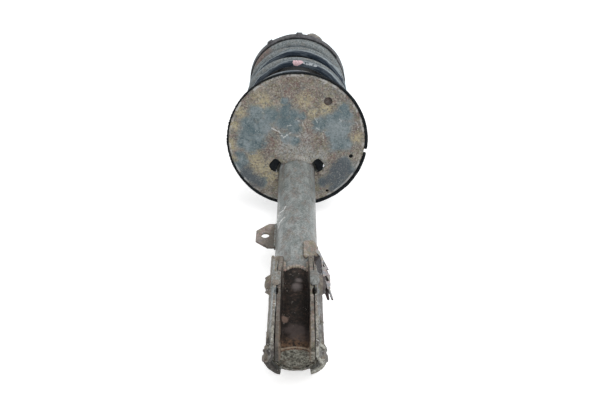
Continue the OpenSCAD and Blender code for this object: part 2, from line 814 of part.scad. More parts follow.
strut_tube();
bottom_cap();
knuckle_bracket_outer();
knuckle_bracket_inner();
bracket_welds();
lower_spring_seat();
lower_insulator();
brake_hose_tab();
sensor_wire_bracket();
inner_tube();
base_valve();
rod_guide();
oil_seal();
tube_cap();
piston_rod();
piston();
piston_band();
piston_nut();
rebound_stop();
bump_stop();
dust_boot();
coil_spring();
upper_insulator();
upper_spring_seat();
bearing_inner_race();
rod_washer();
rod_nut();
bearing_balls();
ball_cage();
bearing_outer_race();
mount_hub();
mount_rubber();
mount_plate();
tower_studs();
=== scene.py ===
import math
import random

import bpy
from mathutils import Matrix, Vector
from mathutils.kdtree import KDTree


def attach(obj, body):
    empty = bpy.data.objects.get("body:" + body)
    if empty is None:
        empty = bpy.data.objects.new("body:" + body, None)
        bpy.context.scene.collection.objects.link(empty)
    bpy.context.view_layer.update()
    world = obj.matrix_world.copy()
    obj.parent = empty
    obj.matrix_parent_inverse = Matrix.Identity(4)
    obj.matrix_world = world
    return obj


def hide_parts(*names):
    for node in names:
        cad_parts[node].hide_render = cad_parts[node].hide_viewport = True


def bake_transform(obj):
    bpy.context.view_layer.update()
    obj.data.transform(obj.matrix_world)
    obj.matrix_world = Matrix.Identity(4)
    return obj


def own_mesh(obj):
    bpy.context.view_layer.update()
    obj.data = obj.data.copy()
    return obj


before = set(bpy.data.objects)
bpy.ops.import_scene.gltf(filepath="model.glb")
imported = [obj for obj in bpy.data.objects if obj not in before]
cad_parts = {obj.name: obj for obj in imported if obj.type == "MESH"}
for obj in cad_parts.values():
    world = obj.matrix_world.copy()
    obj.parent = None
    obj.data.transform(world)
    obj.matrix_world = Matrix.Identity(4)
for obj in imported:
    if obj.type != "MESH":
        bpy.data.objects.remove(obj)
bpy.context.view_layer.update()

random.seed(37)

MM = 0.001

# ---- Sizes of the strut, in millimetres, as the construction has them ----
SEAT_Y = -355
SEAT_TILT = 9.8
SEAT_OFFSET = 46.3
SEAT_R = 82.5
SEAT_T = 3
RUBBER_T = 4
LOCATING_HOLE = (37.7, SEAT_OFFSET + 50)
TUBE_R = 22.5
TUBE_TOP_Y = SEAT_Y + 100
TUBE_LOW_Y = SEAT_Y - 290
WIRE_R = 6.5
COIL_R = 67.5
COIL_OFFSET = 35
COIL_BOW = 6
TOP_OFFSET = -7
PAN_MID_Y = -25
PAN_T = 2.5
RING_Y = -51
RING_T = 3.5
STROKE = 140
TUBE_CAP_T = 3
EAR_TOP_Y = SEAT_Y - 181
WEB_TOP_Y = SEAT_Y - 201
WEB_LOW_Y = SEAT_Y - 306
UPPER_BOLT_Y = SEAT_Y - 241
LOWER_BOLT_Y = SEAT_Y - 309
WEB_R = TUBE_R + 3.5
TAB_HIGH_Y = SEAT_Y - 101
TAB_LOW_Y = SEAT_Y - 142
NECK_HIGH = 20
STUD_CIRCLE_R = 47
STUD_R = 4
STUD_LEN = 22
LOBE_TURN = 36
PLATE_T = 3
FIT = 0.05
FREE = 0.3


# ---- Work on meshes ----

def deselect():
    if bpy.context.object and bpy.context.object.mode != "OBJECT":
        bpy.ops.object.mode_set(mode="OBJECT")
    bpy.ops.object.select_all(action="DESELECT")


def pick(piece):
    """Makes piece the only selected object."""
    deselect()
    piece.select_set(True)
    bpy.context.view_layer.objects.active = piece


def edit(piece, chosen=None):
    """Goes into edit mode with everything selected, or only the vertices that chosen() takes."""
    pick(piece)
    bpy.ops.object.mode_set(mode="EDIT")
    bpy.ops.mesh.select_mode(type="VERT")
    bpy.ops.mesh.select_all(action="SELECT" if chosen is None else "DESELECT")
    if chosen is not None:
        bpy.ops.object.mode_set(mode="OBJECT")
        for vertex in piece.data.vertices:
            vertex.select = chosen(vertex.co)
        bpy.ops.object.mode_set(mode="EDIT")


def close_up(piece, angle=35):
    """Merges doubles, turns the faces outwards and shades the piece."""
    edit(piece)
    bpy.ops.mesh.remove_doubles(threshold=0.01 * MM)
    bpy.ops.mesh.normals_make_consistent(inside=False)
    bpy.ops.object.mode_set(mode="OBJECT")
    bpy.ops.object.shade_smooth_by_angle(angle=math.radians(angle))


def modifier(piece, kind, **settings):
    """Adds a modifier with these settings and applies it."""
    pick(piece)
    made = piece.modifiers.new(kind.lower(), kind)
    for name, value in settings.items():
        setattr(made, name, value)
    bpy.ops.object.modifier_apply(modifier=made.name)


def settle(piece):
    """Puts the piece's place into its mesh."""
    pick(piece)
    bpy.ops.object.transform_apply(location=True, rotation=True, scale=True)


def dress(piece, name, finish, body=None, stands_for=()):
    """Names a finished piece, and says what it rides on and which CAD pieces it stands for."""
    piece.name = name
    piece.data.name = name
    piece.data.materials.clear()
    piece.data.materials.append(finish)
    if body:
        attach(piece, body)
    if stands_for:
        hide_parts(*stands_for)
    return piece


def copy_of(node):
    """A merged copy of a CAD piece."""
    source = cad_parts[node]
    piece = source.copy()
    piece.data = source.data.copy()
    bpy.context.scene.collection.objects.link(piece)
    piece.parent = None
    piece.matrix_world = Matrix.Identity(4)
    for key in list(piece.keys()):
        del piece[key]
    piece.data.materials.clear()
    edit(piece)
    bpy.ops.mesh.remove_doubles(threshold=0.001 * MM)
    bpy.ops.object.mode_set(mode="OBJECT")
    return piece


def lumpy(piece, height, size, depth=2):
    """Raises and sinks the skin of a piece by up to half of height, in lumps of that size."""
    texture = bpy.data.textures.new("lumps", "CLOUDS")
    texture.noise_scale = size * MM
    texture.noise_depth = depth
    modifier(piece, "DISPLACE", texture=texture, strength=height * MM, mid_level=0.5,
             texture_coords="LOCAL")


def wrought(node, grain, rounds, dents=0.4, pits=0.25, grown_on=()):
    """A copy of a CAD piece with rounded edges, shallow dents and a pitted skin.

    Its facets have the size of grain, its edges are smoothed in so many rounds, and the shapes
    in grown_on become one with it."""
    piece = copy_of(node)
    if grown_on:
        piece = joined([piece, *grown_on])
    modifier(piece, "REMESH", mode="VOXEL", voxel_size=grain * MM, use_smooth_shade=True)
    modifier(piece, "SMOOTH", factor=0.5, iterations=rounds)
    lumpy(piece, dents, 14)
    lumpy(piece, pits, 3, 3)
    return piece


def joined(pieces):
    """Makes one object of several."""
    deselect()
    for piece in pieces:
        piece.select_set(True)
    bpy.context.view_layer.objects.active = pieces[0]
    bpy.ops.object.join()
    return bpy.context.object


def lathe(points, steps=96, closed=True):
    """Turns a chain of (radius, y) points about the damper's axis. Millimetres."""
    deselect()
    bpy.ops.mesh.primitive_plane_add(size=MM, enter_editmode=True)
    bpy.ops.mesh.merge(type="CENTER")
    bpy.ops.transform.translate(value=(points[0][0] * MM, points[0][1] * MM, 0))
    chain = points[1:] + [points[0]] if closed else points[1:]
    last = points[0]
    for point in chain:
        step = ((point[0] - last[0]) * MM, (point[1] - last[1]) * MM, 0)
        bpy.ops.mesh.extrude_region_move(TRANSFORM_OT_translate={"value": step})
        last = point
    bpy.ops.mesh.select_all(action="SELECT")
    bpy.ops.mesh.spin(steps=steps, angle=2 * math.pi, center=(0, 0, 0), axis=(0, 1, 0))
    bpy.ops.object.mode_set(mode="OBJECT")
    piece = bpy.context.object
    close_up(piece)
    return piece


def swept(points, radii, round_steps=3):
    """A round bar along a path of points, with its own radius at each of them. Millimetres."""
    curve = bpy.data.curves.new("path", "CURVE")
    curve.dimensions = "3D"
    curve.bevel_depth = MM
    curve.bevel_resolution = round_steps
    curve.use_fill_caps = True
    spline = curve.splines.new("POLY")
    spline.points.add(len(points) - 1)
    for knot, place, radius in zip(spline.points, points, radii):
        knot.co = (*(Vector(place) * MM), 1)
        knot.radius = radius
    piece = bpy.data.objects.new("path", curve)
    bpy.context.scene.collection.objects.link(piece)
    pick(piece)
    bpy.ops.object.convert(target="MESH")
    piece = bpy.context.object
    close_up(piece, 60)
    return piece


def prism(outline, through):
    """A solid drawn out from a flat outline, left in edit mode. Millimetres."""
    deselect()
    bpy.ops.mesh.primitive_circle_add(vertices=len(outline), radius=MM, fill_type="NGON")
    piece = bpy.context.object
    for vertex, place in zip(piece.data.vertices, outline):
        vertex.co = Vector(place) * MM
    edit(piece)
    bpy.ops.mesh.extrude_region_move(TRANSFORM_OT_translate={"value": Vector(through) * MM})
    return piece


def on_seat(side, height, along):
    """A point of the lower seat's own plane in the strut's frame. Millimetres."""
    tilt = math.radians(SEAT_TILT)
    return Vector((
        side,
        SEAT_Y + height * math.cos(tilt) + along * math.sin(tilt),
        along * math.cos(tilt) - height * math.sin(tilt),
    ))


# ---- Finishes ----

class Nodes:
    """A node tree, and the steps that it is built from."""

    def __init__(self, tree):
        self.tree = tree

    def feed(self, socket, value):
        """Gives an input its value, which is another node's output, a colour or a plain value."""
        if isinstance(value, bpy.types.NodeSocket):
            self.tree.links.new(value, socket)
        else:
            socket.default_value = (*value, 1) if socket.type == "RGBA" else value

    def add(self, kind, inputs=(), **settings):
        """Adds a node with these settings and inputs."""
        made = self.tree.nodes.new("ShaderNode" + kind)
        for name, value in settings.items():
            setattr(made, name, value)
        for name, value in dict(inputs).items():
            self.feed(made.inputs[name], value)
        return made

    def vector(self, operation, first, second=(0, 0, 0), **more):
        """Works out a step on vectors."""
        made = self.add("VectorMath", {0: first, 1: second, **more}, operation=operation)
        return made.outputs["Value" if operation in ("DISTANCE", "DOT_PRODUCT", "LENGTH") else "Vector"]

    def sum(self, operation, first, second=0.0):
        """Works out a step on numbers."""
        return self.add("Math", {0: first, 1: second}, operation=operation).outputs[0]

    def both(self, *shares):
        """Product of several shares."""
        result = shares[0]
        for share in shares[1:]:
            result = self.sum("MULTIPLY", result, share)
        return result

    def either(self, *shares):
        """The largest of several shares."""
        result = shares[0]
        for share in shares[1:]:
            result = self.sum("MAXIMUM", result, share)
        return result

    def seen(self):
        """1 where a surface or the sky is looked at, also in a mirror or through glass."""
        rays = self.add("LightPath").outputs
        return self.either(rays["Is Camera Ray"], rays["Is Glossy Ray"], rays["Is Transmission Ray"])


class Finish(Nodes):
    """One procedural material, built up in layers on the piece's own place in millimetres."""

    def __init__(self, name):
        self.material = bpy.data.materials.new(name)
        self.material.use_nodes = True
        super().__init__(self.material.node_tree)
        self.shader = self.tree.nodes["Principled BSDF"]
        place = self.add("TexCoord").outputs["Object"]
        self.place = self.vector("SCALE", place, Scale=1 / MM)

    def step(self, value, low, high):
        """Rises smoothly from 0 at low to 1 at high, or falls if high is the lower one."""
        turned_round = high < low
        ends = (high, low) if turned_round else (low, high)
        made = self.add("MapRange", {"Value": value, "From Min": ends[0], "From Max": ends[1]},
                        interpolation_type="SMOOTHSTEP")
        rising = made.outputs["Result"]
        return self.sum("SUBTRACT", 1, rising) if turned_round else rising

    def noise(self, size, detail=3, rough=0.55, shift=0, stretch=(1, 1, 1), place=None):
        """Cloudy pattern with lumps of about this size."""
        place = self.add("Mapping", {"Vector": place or self.place, "Location": (shift, shift, shift),
                                     "Scale": stretch}).outputs["Vector"]
        made = self.add("TexNoise", {"Vector": place, "Scale": 1 / size, "Detail": detail,
                                     "Roughness": rough})
        return made.outputs["Fac"]

    def mix(self, share, under, over):
        """One colour laid over another one with this share."""
        return self.add("Mix", {0: share, 6: under, 7: over}, data_type="RGBA").outputs[2]

    def ramp(self, value, *stops):
        """Colours by value: each stop is a position and a colour."""
        made = self.add("ValToRGB", {"Fac": value})
        colours = made.color_ramp
        while len(colours.elements) < len(stops):
            colours.elements.new(0.5)
        for element, (position, colour) in zip(colours.elements, stops):
            element.position = position
            element.color = (*colour, 1)
        return made.outputs["Color"]

    def facing(self, direction):
        """1 where the surface faces this way, -1 where it faces away."""
        normal = self.add("NewGeometry").outputs["Normal"]
        return self.vector("DOT_PRODUCT", normal, direction)

    def axis(self, letter):
        """One coordinate of the place on the piece."""
        return self.add("SeparateXYZ", {"Vector": self.place}).outputs[letter]

    def ragged(self, letter, size, share, detail=3):
        """One coordinate, moved on by up to share, so that a step along it gets a ragged edge."""
        return self.sum("ADD", self.axis(letter), self.both(self.noise(size, detail), share))

    def from_axis(self):
        """Distance from the damper's axis."""
        return self.vector("LENGTH", self.vector("MULTIPLY", self.place, (1, 0, 1)))

    def spots(self, spots, edge=0.6, flat=(1, 1, 1), soft=0.25):
        """Blotches round the given places, each (place, radius), with ragged edges."""
        place = self.vector("MULTIPLY", self.place, flat)
        field = None
        for middle, radius in spots:
            flat_middle = [a * b for a, b in zip(middle, flat)]
            away = self.sum("DIVIDE", self.vector("DISTANCE", place, flat_middle), radius)
            field = away if field is None else self.sum("MINIMUM", field, away)
        for size, share in ((15, 2.2), (4.5, 1.5), (1.7, 1.0)):
            ragged = self.sum("SUBTRACT", self.noise(size, 3, 0.6, size), 0.5)
            field = self.sum("ADD", field, self.sum("MULTIPLY", ragged, edge * share))
        return self.step(field, 1 + soft, 1 - soft)

    def strokes(self, strokes, width=0.8, flat=(1, 1, 1)):
        """Broken scratches along straight lines, each between two places."""
        place = self.vector("MULTIPLY", self.place, flat)
        field = None
        for start, end in strokes:
            a = Vector([p * f for p, f in zip(start, flat)])
            b = Vector([p * f for p, f in zip(end, flat)])
            away = self.vector("SUBTRACT", place, tuple(a))
            along = self.vector("DOT_PRODUCT", away, tuple((b - a) / (b - a).length_squared))
            along = self.add("Clamp", {"Value": along}).outputs[0]
            run = self.vector("SCALE", tuple(b - a), Scale=along)
            gap = self.vector("LENGTH", self.vector("SUBTRACT", away, run))
            field = gap if field is None else self.sum("MINIMUM", field, gap)
        wobble = self.sum("MULTIPLY", self.sum("SUBTRACT", self.noise(2.5, 2, 0.5, 11), 0.5), 3.5)
        near = self.step(self.sum("ADD", field, wobble), width * 1.3, width * 0.5)
        return self.both(near, self.step(self.noise(3, 2, 0.5, 23), 0.36, 0.46))

    def chips(self, size=1.3, share=0.66, crowd=14):
        """Small bright chips that crowd in places."""
        fine = self.step(self.noise(size, 2, 0.5, 31), share, share + 0.05)
        return self.both(fine, self.step(self.noise(crowd, 2, 0.5, 41), 0.5, 0.62))

    def relief(self, *layers):
        """Bump from (height, depth in millimetres) layers, coarse ones first."""
        normal = None
        for height, depth in layers:
            inputs = {"Height": height, "Distance": depth * MM, "Strength": 1.0}
            if normal is not None:
                inputs["Normal"] = normal
            normal = self.add("Bump", inputs).outputs["Normal"]
        self.tree.links.new(normal, self.shader.inputs["Normal"])

    def done(self, colour, rough, **more):
        """Feeds the shader with these values and returns the material."""
        for name, value in {"Base_Color": colour, "Roughness": rough, **more}.items():
            self.feed(self.shader.inputs[name.replace("_", " ")], value)
        return self.material


def plain_grey(tone):
    return (tone, tone, tone)


WHITE_METAL = (0.62, 0.63, 0.62)
RUST = ((0.075, 0.05, 0.04), (0.19, 0.155, 0.13), (0.31, 0.27, 0.215))


def rust_colour(made, grain=2.6, colours=RUST, shift=0):
    """Mottled rust from dark red-brown to ochre dust, tinted pink, olive and grey in places."""
    mottle = made.sum("ADD", made.both(made.noise(grain, 4, 0.75, shift), 0.66),
                      made.both(made.noise(grain * 4, 3, 0.6, shift + 5), 0.34))
    dark, plain, pale = colours
    rust = made.ramp(mottle, (0.39, dark), (0.49, plain), (0.60, pale))
    for size, move, tint in ((3.5, 33, (1.15, 0.85, 0.84)), (4.5, 44, (0.92, 0.98, 0.72)),
                             (6, 55, (0.82, 0.95, 1.04))):
        share = made.both(made.step(made.noise(size, 3, 0.6, shift + move), 0.5, 0.62), 0.7)
        rust = made.mix(share, rust, tuple(part * tone for part, tone in zip(plain, tint)))
    return rust


def speckled(made, colour, dark, pale, size=1.8, shift=3, strength=0.55):
    """Adds fine dark and pale grains."""
    grain = made.noise(size, 4, 0.75, shift)
    colour = made.mix(made.both(made.step(grain, 0.5, 0.33), strength), colour, dark)
    return made.mix(made.both(made.step(grain, 0.52, 0.68), strength), colour, pale)


def seat_paint():
    """Grey-blue paint that is left in patches on a rusted dish."""
    made = Finish("seat_paint")
    lean = math.cos(math.radians(SEAT_TILT))
    seat_plane = (1, 0, 1 / lean)

    def spots(edge, soft, *places):
        """Blotches given as (side, along, radius) on the dish."""
        return made.spots([((side, 0, along * lean), radius) for side, along, radius in places],
                          edge, seat_plane, soft)

    kept = spots(
        0.7, 0.45, (-15, 97, 5), (-50, 83, 10), (-29, 80, 11), (-14, 83, 10), (-4, 80, 8),
        (-17, 71, 10), (-5, 69, 9), (7, 78, 5), (-57, 71, 10), (-52, 62, 13), (-42, 64, 12),
        (-61, 53, 11), (-49, 47, 12), (-67, 43, 8), (-57, 38, 9), (-2, 62, 8), (-2, 47, 6),
        (-14, 51, 7), (-69, 28, 7), (-72, 13, 8), (-63, 1, 10), (-66, 19, 7), (-54, -4, 9),
        (-45, -8, 7), (57, 88, 8), (60, 79, 9), (50, 77, 9), (41, 73, 9), (29, 68, 10),
        (45, 65, 13), (59, 65, 10), (50, 53, 13), (58, 43, 9), (48, 40, 9), (40, 56, 6),
        (60, 17, 9), (53, 5, 13), (67, 9, 9), (43, -4, 10), (50, -10, 10), (34, -8, 7),
    )
    paint = made.ramp(made.noise(7, 5, 0.75, 2), (0.38, (0.055, 0.098, 0.115)),
                      (0.5, (0.138, 0.188, 0.207)), (0.62, (0.235, 0.285, 0.305)))
    deep = spots(0.6, 0.6, (-17, 78, 16), (-60, 89, 7), (-57, 60, 9), (55, 84, 9))
    paint = made.mix(made.both(deep, 0.7), paint, (0.062, 0.112, 0.132))
    slate = spots(0.5, 0.5, (55, 6, 19), (44, -8, 15), (-58, 1, 15), (-50, -8, 9))
    paint = made.mix(made.both(slate, 0.9), paint, (0.042, 0.055, 0.07))
    wiped = spots(0.5, 0.6, (50, 61, 13), (-30, 62, 10), (-14, 49, 8))
    paint = made.mix(made.both(wiped, 0.5), paint, (0.27, 0.31, 0.325))
    paint = speckled(made, paint, (0.045, 0.065, 0.072), (0.30, 0.325, 0.32), 2, 17, 0.6)

    rust = rust_colour(made, 2.3, ((0.06, 0.045, 0.039), (0.205, 0.186, 0.163), (0.385, 0.355, 0.30)))
    ochre = spots(0.8, 0.6, (10, 99, 9), (20, 82, 7), (34, 87, 9), (-67, 83, 8), (-76, 66, 6),
                  (-50, 21, 12), (-41, 9, 12), (-36, -2, 10), (-53, 28, 8), (-79, 42, 7),
                  (-43, 94, 12), (-29, 89, 6), (73, 51, 7), (-78, 22, 6))
    rust = made.mix(made.both(ochre, made.step(made.noise(3, 4, 0.7, 61), 0.38, 0.56), 0.8), rust,
                    (0.45, 0.395, 0.245))
    dust = spots(0.8, 0.6, (7, 36, 13), (-13, 36, 12), (10, 24, 11), (30, 28, 9), (12, 52, 8))
    rust = made.mix(made.both(dust, made.step(made.noise(2.4, 4, 0.7, 63), 0.4, 0.56), 0.75), rust,
                    (0.39, 0.405, 0.395))
    red = spots(0.9, 0.6, (-6, 113, 18), (14, 106, 9), (-30, 41, 10), (-36, 32, 7), (17, 58, 9),
                (24, 43, 8), (46, 24, 8), (69, 60, 8), (10, 47, 7), (-51, 94, 8), (-4, 94, 6))
    rust = made.mix(made.both(red, made.step(made.noise(2.6, 4, 0.7, 9), 0.44, 0.6), 0.7), rust,
                    (0.155, 0.098, 0.09))
    rust = speckled(made, rust, (0.055, 0.044, 0.04), (0.44, 0.43, 0.38), 1.7, 5, 0.65)
    colour = made.mix(made.both(kept, 0.92), rust, paint)

    scratches = [
        ((-30, 63), (-23, 59)), ((-22, 59), (-16, 51)), ((-16, 51), (-6, 58)), ((-11, 66), (-7, 67)),
        ((7, 71), (8, 67)), ((1, 73), (3, 72)), ((22, 76), (25, 71)), ((24, 63), (35, 58)),
        ((32, 56), (33, 50)), ((72, 71), (75, 64)), ((0, 52), (4, 53)), ((52, 74), (54, 72)),
        ((30, 119), (35, 118)), ((63, -6), (71, -3)), ((70, -12), (62, -19)),
    ]
    flat = [((a[0], 0, a[1] * lean), (b[0], 0, b[1] * lean)) for a, b in scratches]
    marks = made.either(made.strokes(flat[:3], 0.8, seat_plane),
                        made.both(made.strokes(flat[3:], 0.6, seat_plane), 0.6))
    from_middle = made.vector("DISTANCE", made.vector("MULTIPLY", made.place, seat_plane),
                              (0, 0, SEAT_OFFSET))
    # Painted highlight: the white-metal line along the dish's outer rim stands in for light glinting on
    # its edge. The scratches and chips are bare metal.
    rim = made.both(made.step(from_middle, SEAT_R - 2.4, SEAT_R - 1),
                    made.step(made.noise(9, 3, 0.6, 71), 0.46, 0.58), 0.5)
    bare_metal_and_rim_glint = made.either(made.both(marks, 0.75), made.both(made.chips(1.2, 0.655, 10), 0.7), rim)
    colour = made.mix(bare_metal_and_rim_glint, colour, WHITE_METAL)
    over_seat = made.vector("DOT_PRODUCT", made.vector("SUBTRACT", made.place, (0, SEAT_Y, 0)),
                            (0, lean, -math.sin(math.radians(SEAT_TILT))))
    neck = made.both(made.step(over_seat, SEAT_T + 0.8, SEAT_T + 2.5),
                     made.step(made.from_axis(), TUBE_R + 5.1, TUBE_R + 4.3))
    colour = made.mix(made.both(neck, 0.9), colour, (0.12, 0.125, 0.11))
    rough = made.mix(kept, plain_grey(0.84), plain_grey(0.46))
    made.relief((kept, 0.12), (made.noise(7, 3), 0.4), (made.noise(1.6, 4, 0.65, 4), 0.3))
    return made.done(colour, rough, IOR=1.45)


def end_dirt(made):
    """Olive-grey dirt, caked in dark and pale lumps."""
    dirt = made.ramp(made.noise(3, 5, 0.8, 4), (0.37, (0.02, 0.018, 0.014)),
                     (0.47, (0.115, 0.112, 0.09)), (0.56, (0.28, 0.275, 0.23)),
                     (0.64, (0.48, 0.47, 0.41)))
    return made.mix(made.both(made.step(made.noise(6, 3, 0.6, 2), 0.5, 0.62), 0.5), dirt,
                    (0.115, 0.078, 0.055))


def tube_paint():
    """Grey-green paint, stained brown and dusty, with a few scratches to bright metal."""
    made = Finish("tube_paint")
    paint = made.ramp(made.noise(9, 5, 0.72, 1, (1, 0.5, 1)), (0.37, (0.145, 0.168, 0.163)),
                      (0.5, (0.218, 0.243, 0.24)), (0.62, (0.305, 0.325, 0.32)))
    streaks = made.step(made.noise(3.5, 3, 0.6, 14, (1, 0.12, 1)), 0.5, 0.66)
    paint = made.mix(made.both(streaks, 0.35), paint, (0.13, 0.13, 0.118))
    stains = made.both(made.step(made.noise(9, 5, 0.75, 8, (1, 0.6, 1)), 0.48, 0.6), 0.7)
    brown = rust_colour(made, 2.2, ((0.10, 0.08, 0.072), (0.205, 0.18, 0.165), (0.29, 0.268, 0.24)))
    colour = speckled(made, made.mix(stains, paint, brown), (0.05, 0.053, 0.05), (0.42, 0.43, 0.415),
                      2.2, 3, 0.62)
    over_arch = made.both(made.step(made.ragged("Y", 6, 16), EAR_TOP_Y + 2, EAR_TOP_Y - 12),
                          made.step(made.axis("Z"), 8, 16), 0.75)
    colour = made.mix(over_arch, colour, brown)
    low = made.step(made.ragged("Y", 4, 4), TUBE_LOW_Y + 7, TUBE_LOW_Y + 3)
    colour = made.mix(low, colour, end_dirt(made))
    scratches = made.strokes([
        ((-12, -447, 19), (-15, -452, 17)), ((-15, -452, 17), (-21, -449, 8)),
        ((-21, -447, 7), (-18, -457, 13)), ((-21, -458, 8), (-19, -452, 12)),
        ((-19, -469, 12), (-13, -467, 18)), ((-16, -468, 16), (-20, -476, 10)),
    ], 1.1)
    colour = made.mix(made.both(made.either(scratches, made.both(made.chips(1.2, 0.67), 0.7)), 0.9),
                      colour, (0.72, 0.73, 0.72))
    made.relief((stains, 0.1), (made.noise(6, 3), 0.3), (made.noise(1.9, 4, 0.7, 3), 0.22))
    return made.done(colour, made.mix(stains, plain_grey(0.34), plain_grey(0.55)), IOR=1.5)


def bracket_steel():
    """Pressed steel: pale grey-blue flanks, brown edges, mottled feet, and painted shade on its right
    side.
    """
    made = Finish("bracket_steel")
    left = made.step(made.axis("X"), 6, -4)
    flank = made.step(made.sum("ABSOLUTE", made.facing((1, 0, 0))), 0.45, 0.8)
    pale = made.ramp(made.noise(5, 5, 0.78, 5), (0.38, (0.15, 0.175, 0.18)),
                     (0.5, (0.345, 0.378, 0.385)), (0.62, (0.52, 0.55, 0.55)))
    brown = rust_colour(made, 2.2, ((0.06, 0.046, 0.038), (0.185, 0.163, 0.14), (0.32, 0.295, 0.25)))
    bare_paint = made.step(made.sum("SUBTRACT", made.noise(6, 4, 0.65, 15), made.both(left, 0.12)),
                           0.56, 0.42)
    colour = made.mix(made.both(flank, bare_paint), brown, pale)
    top = made.step(made.ragged("Y", 9, 16), UPPER_BOLT_Y + 8, UPPER_BOLT_Y + 24)
    colour = made.mix(made.both(top, made.sum("SUBTRACT", 0.7, made.both(left, 0.3))), colour, brown)
    feet = made.step(made.ragged("Y", 9, 30), LOWER_BOLT_Y + 40, LOWER_BOLT_Y + 22)
    mottle = made.ramp(made.noise(3.6, 5, 0.75, 12), (0.38, (0.045, 0.038, 0.032)),
                       (0.49, (0.165, 0.155, 0.134)), (0.6, (0.36, 0.352, 0.305)))
    colour = made.mix(made.both(feet, 0.85), colour, mottle)
    # Painted shade: the upper right flank and the right boss's outer rim get dark plum rust, which also
    # paints the shade there. The upper right flank then goes near black.
    upper_right_shade = made.both(made.step(made.axis("X"), 17.6, 18.4),
                            made.step(made.ragged("Y", 9, 20), UPPER_BOLT_Y + 12, UPPER_BOLT_Y + 26),
                            made.step(made.ragged("Z", 9, 20), 14, 26))
    upper_boss = made.both(made.step(made.axis("X"), 24.2, 25.4),
                           made.step(made.axis("Y"), LOWER_BOLT_Y + 38, LOWER_BOLT_Y + 46))
    painted_shade = made.either(upper_right_shade, upper_boss)
    bosses = made.step(made.sum("SUBTRACT", made.sum("ABSOLUTE", made.axis("X")),
                                made.both(made.noise(6, 3), 2)), 20, 22)
    dark_rust = rust_colour(made, 2.2, ((0.05, 0.036, 0.028), (0.15, 0.122, 0.098), (0.28, 0.245, 0.2)))
    colour = made.mix(made.both(bosses, 0.75), colour, dark_rust)
    plum_rust_and_shade = rust_colour(made, 2.2, ((0.02, 0.016, 0.017), (0.06, 0.05, 0.05), (0.13, 0.112, 0.11)), 4)
    colour = made.mix(made.both(painted_shade, 0.9), colour, plum_rust_and_shade)
    colour = made.mix(made.both(upper_right_shade, 0.6), colour, (0.022, 0.018, 0.018))
    inward = made.step(made.facing(made.vector("MULTIPLY", made.place, (1, 0, 1))), -3, -10)
    endward = made.both(made.step(made.facing((0, 1, 0)), -0.25, -0.5), made.step(made.axis("Z"), 52, 48))
    hollow = made.both(made.either(inward, endward),
                       made.step(made.axis("Y"), LOWER_BOLT_Y + 24, LOWER_BOLT_Y + 12))
    dusty = made.ramp(made.noise(3, 5, 0.78, 22), (0.38, (0.06, 0.055, 0.045)),
                      (0.48, (0.25, 0.245, 0.205)), (0.58, (0.48, 0.48, 0.43)))
    dark = made.ramp(made.noise(3, 4, 0.7, 23), (0.4, (0.022, 0.019, 0.017)),
                     (0.62, (0.085, 0.075, 0.066)))
    colour = made.mix(hollow, colour, made.mix(left, dusty, dark))
    # Painted shade: the right ear's flank is darkened to dark grey-blue for the shade on that side.
    right_flank_shade = made.both(made.step(made.axis("X"), 12, 19), flank, 0.5)
    colour = made.mix(right_flank_shade, colour, (0.085, 0.088, 0.095))
    worn = made.either(made.both(made.chips(1.5, 0.61, 15), 0.85),
                       made.both(made.step(made.noise(1.3, 2, 0.5, 3), 0.66, 0.7), feet, 0.6))
    colour = made.mix(worn, colour, WHITE_METAL)
    made.relief((made.noise(8, 3, 0.6, 6), 0.6), (made.noise(2.2, 4, 0.7, 8), 0.5))
    # Lower specular level on the painted shade of the upper right flank, so that it stays dark.
    shine = made.sum("SUBTRACT", 0.5, made.both(upper_right_shade, 0.42))
    return made.done(colour, 0.7, IOR=1.45, Specular_IOR_Level=shine)


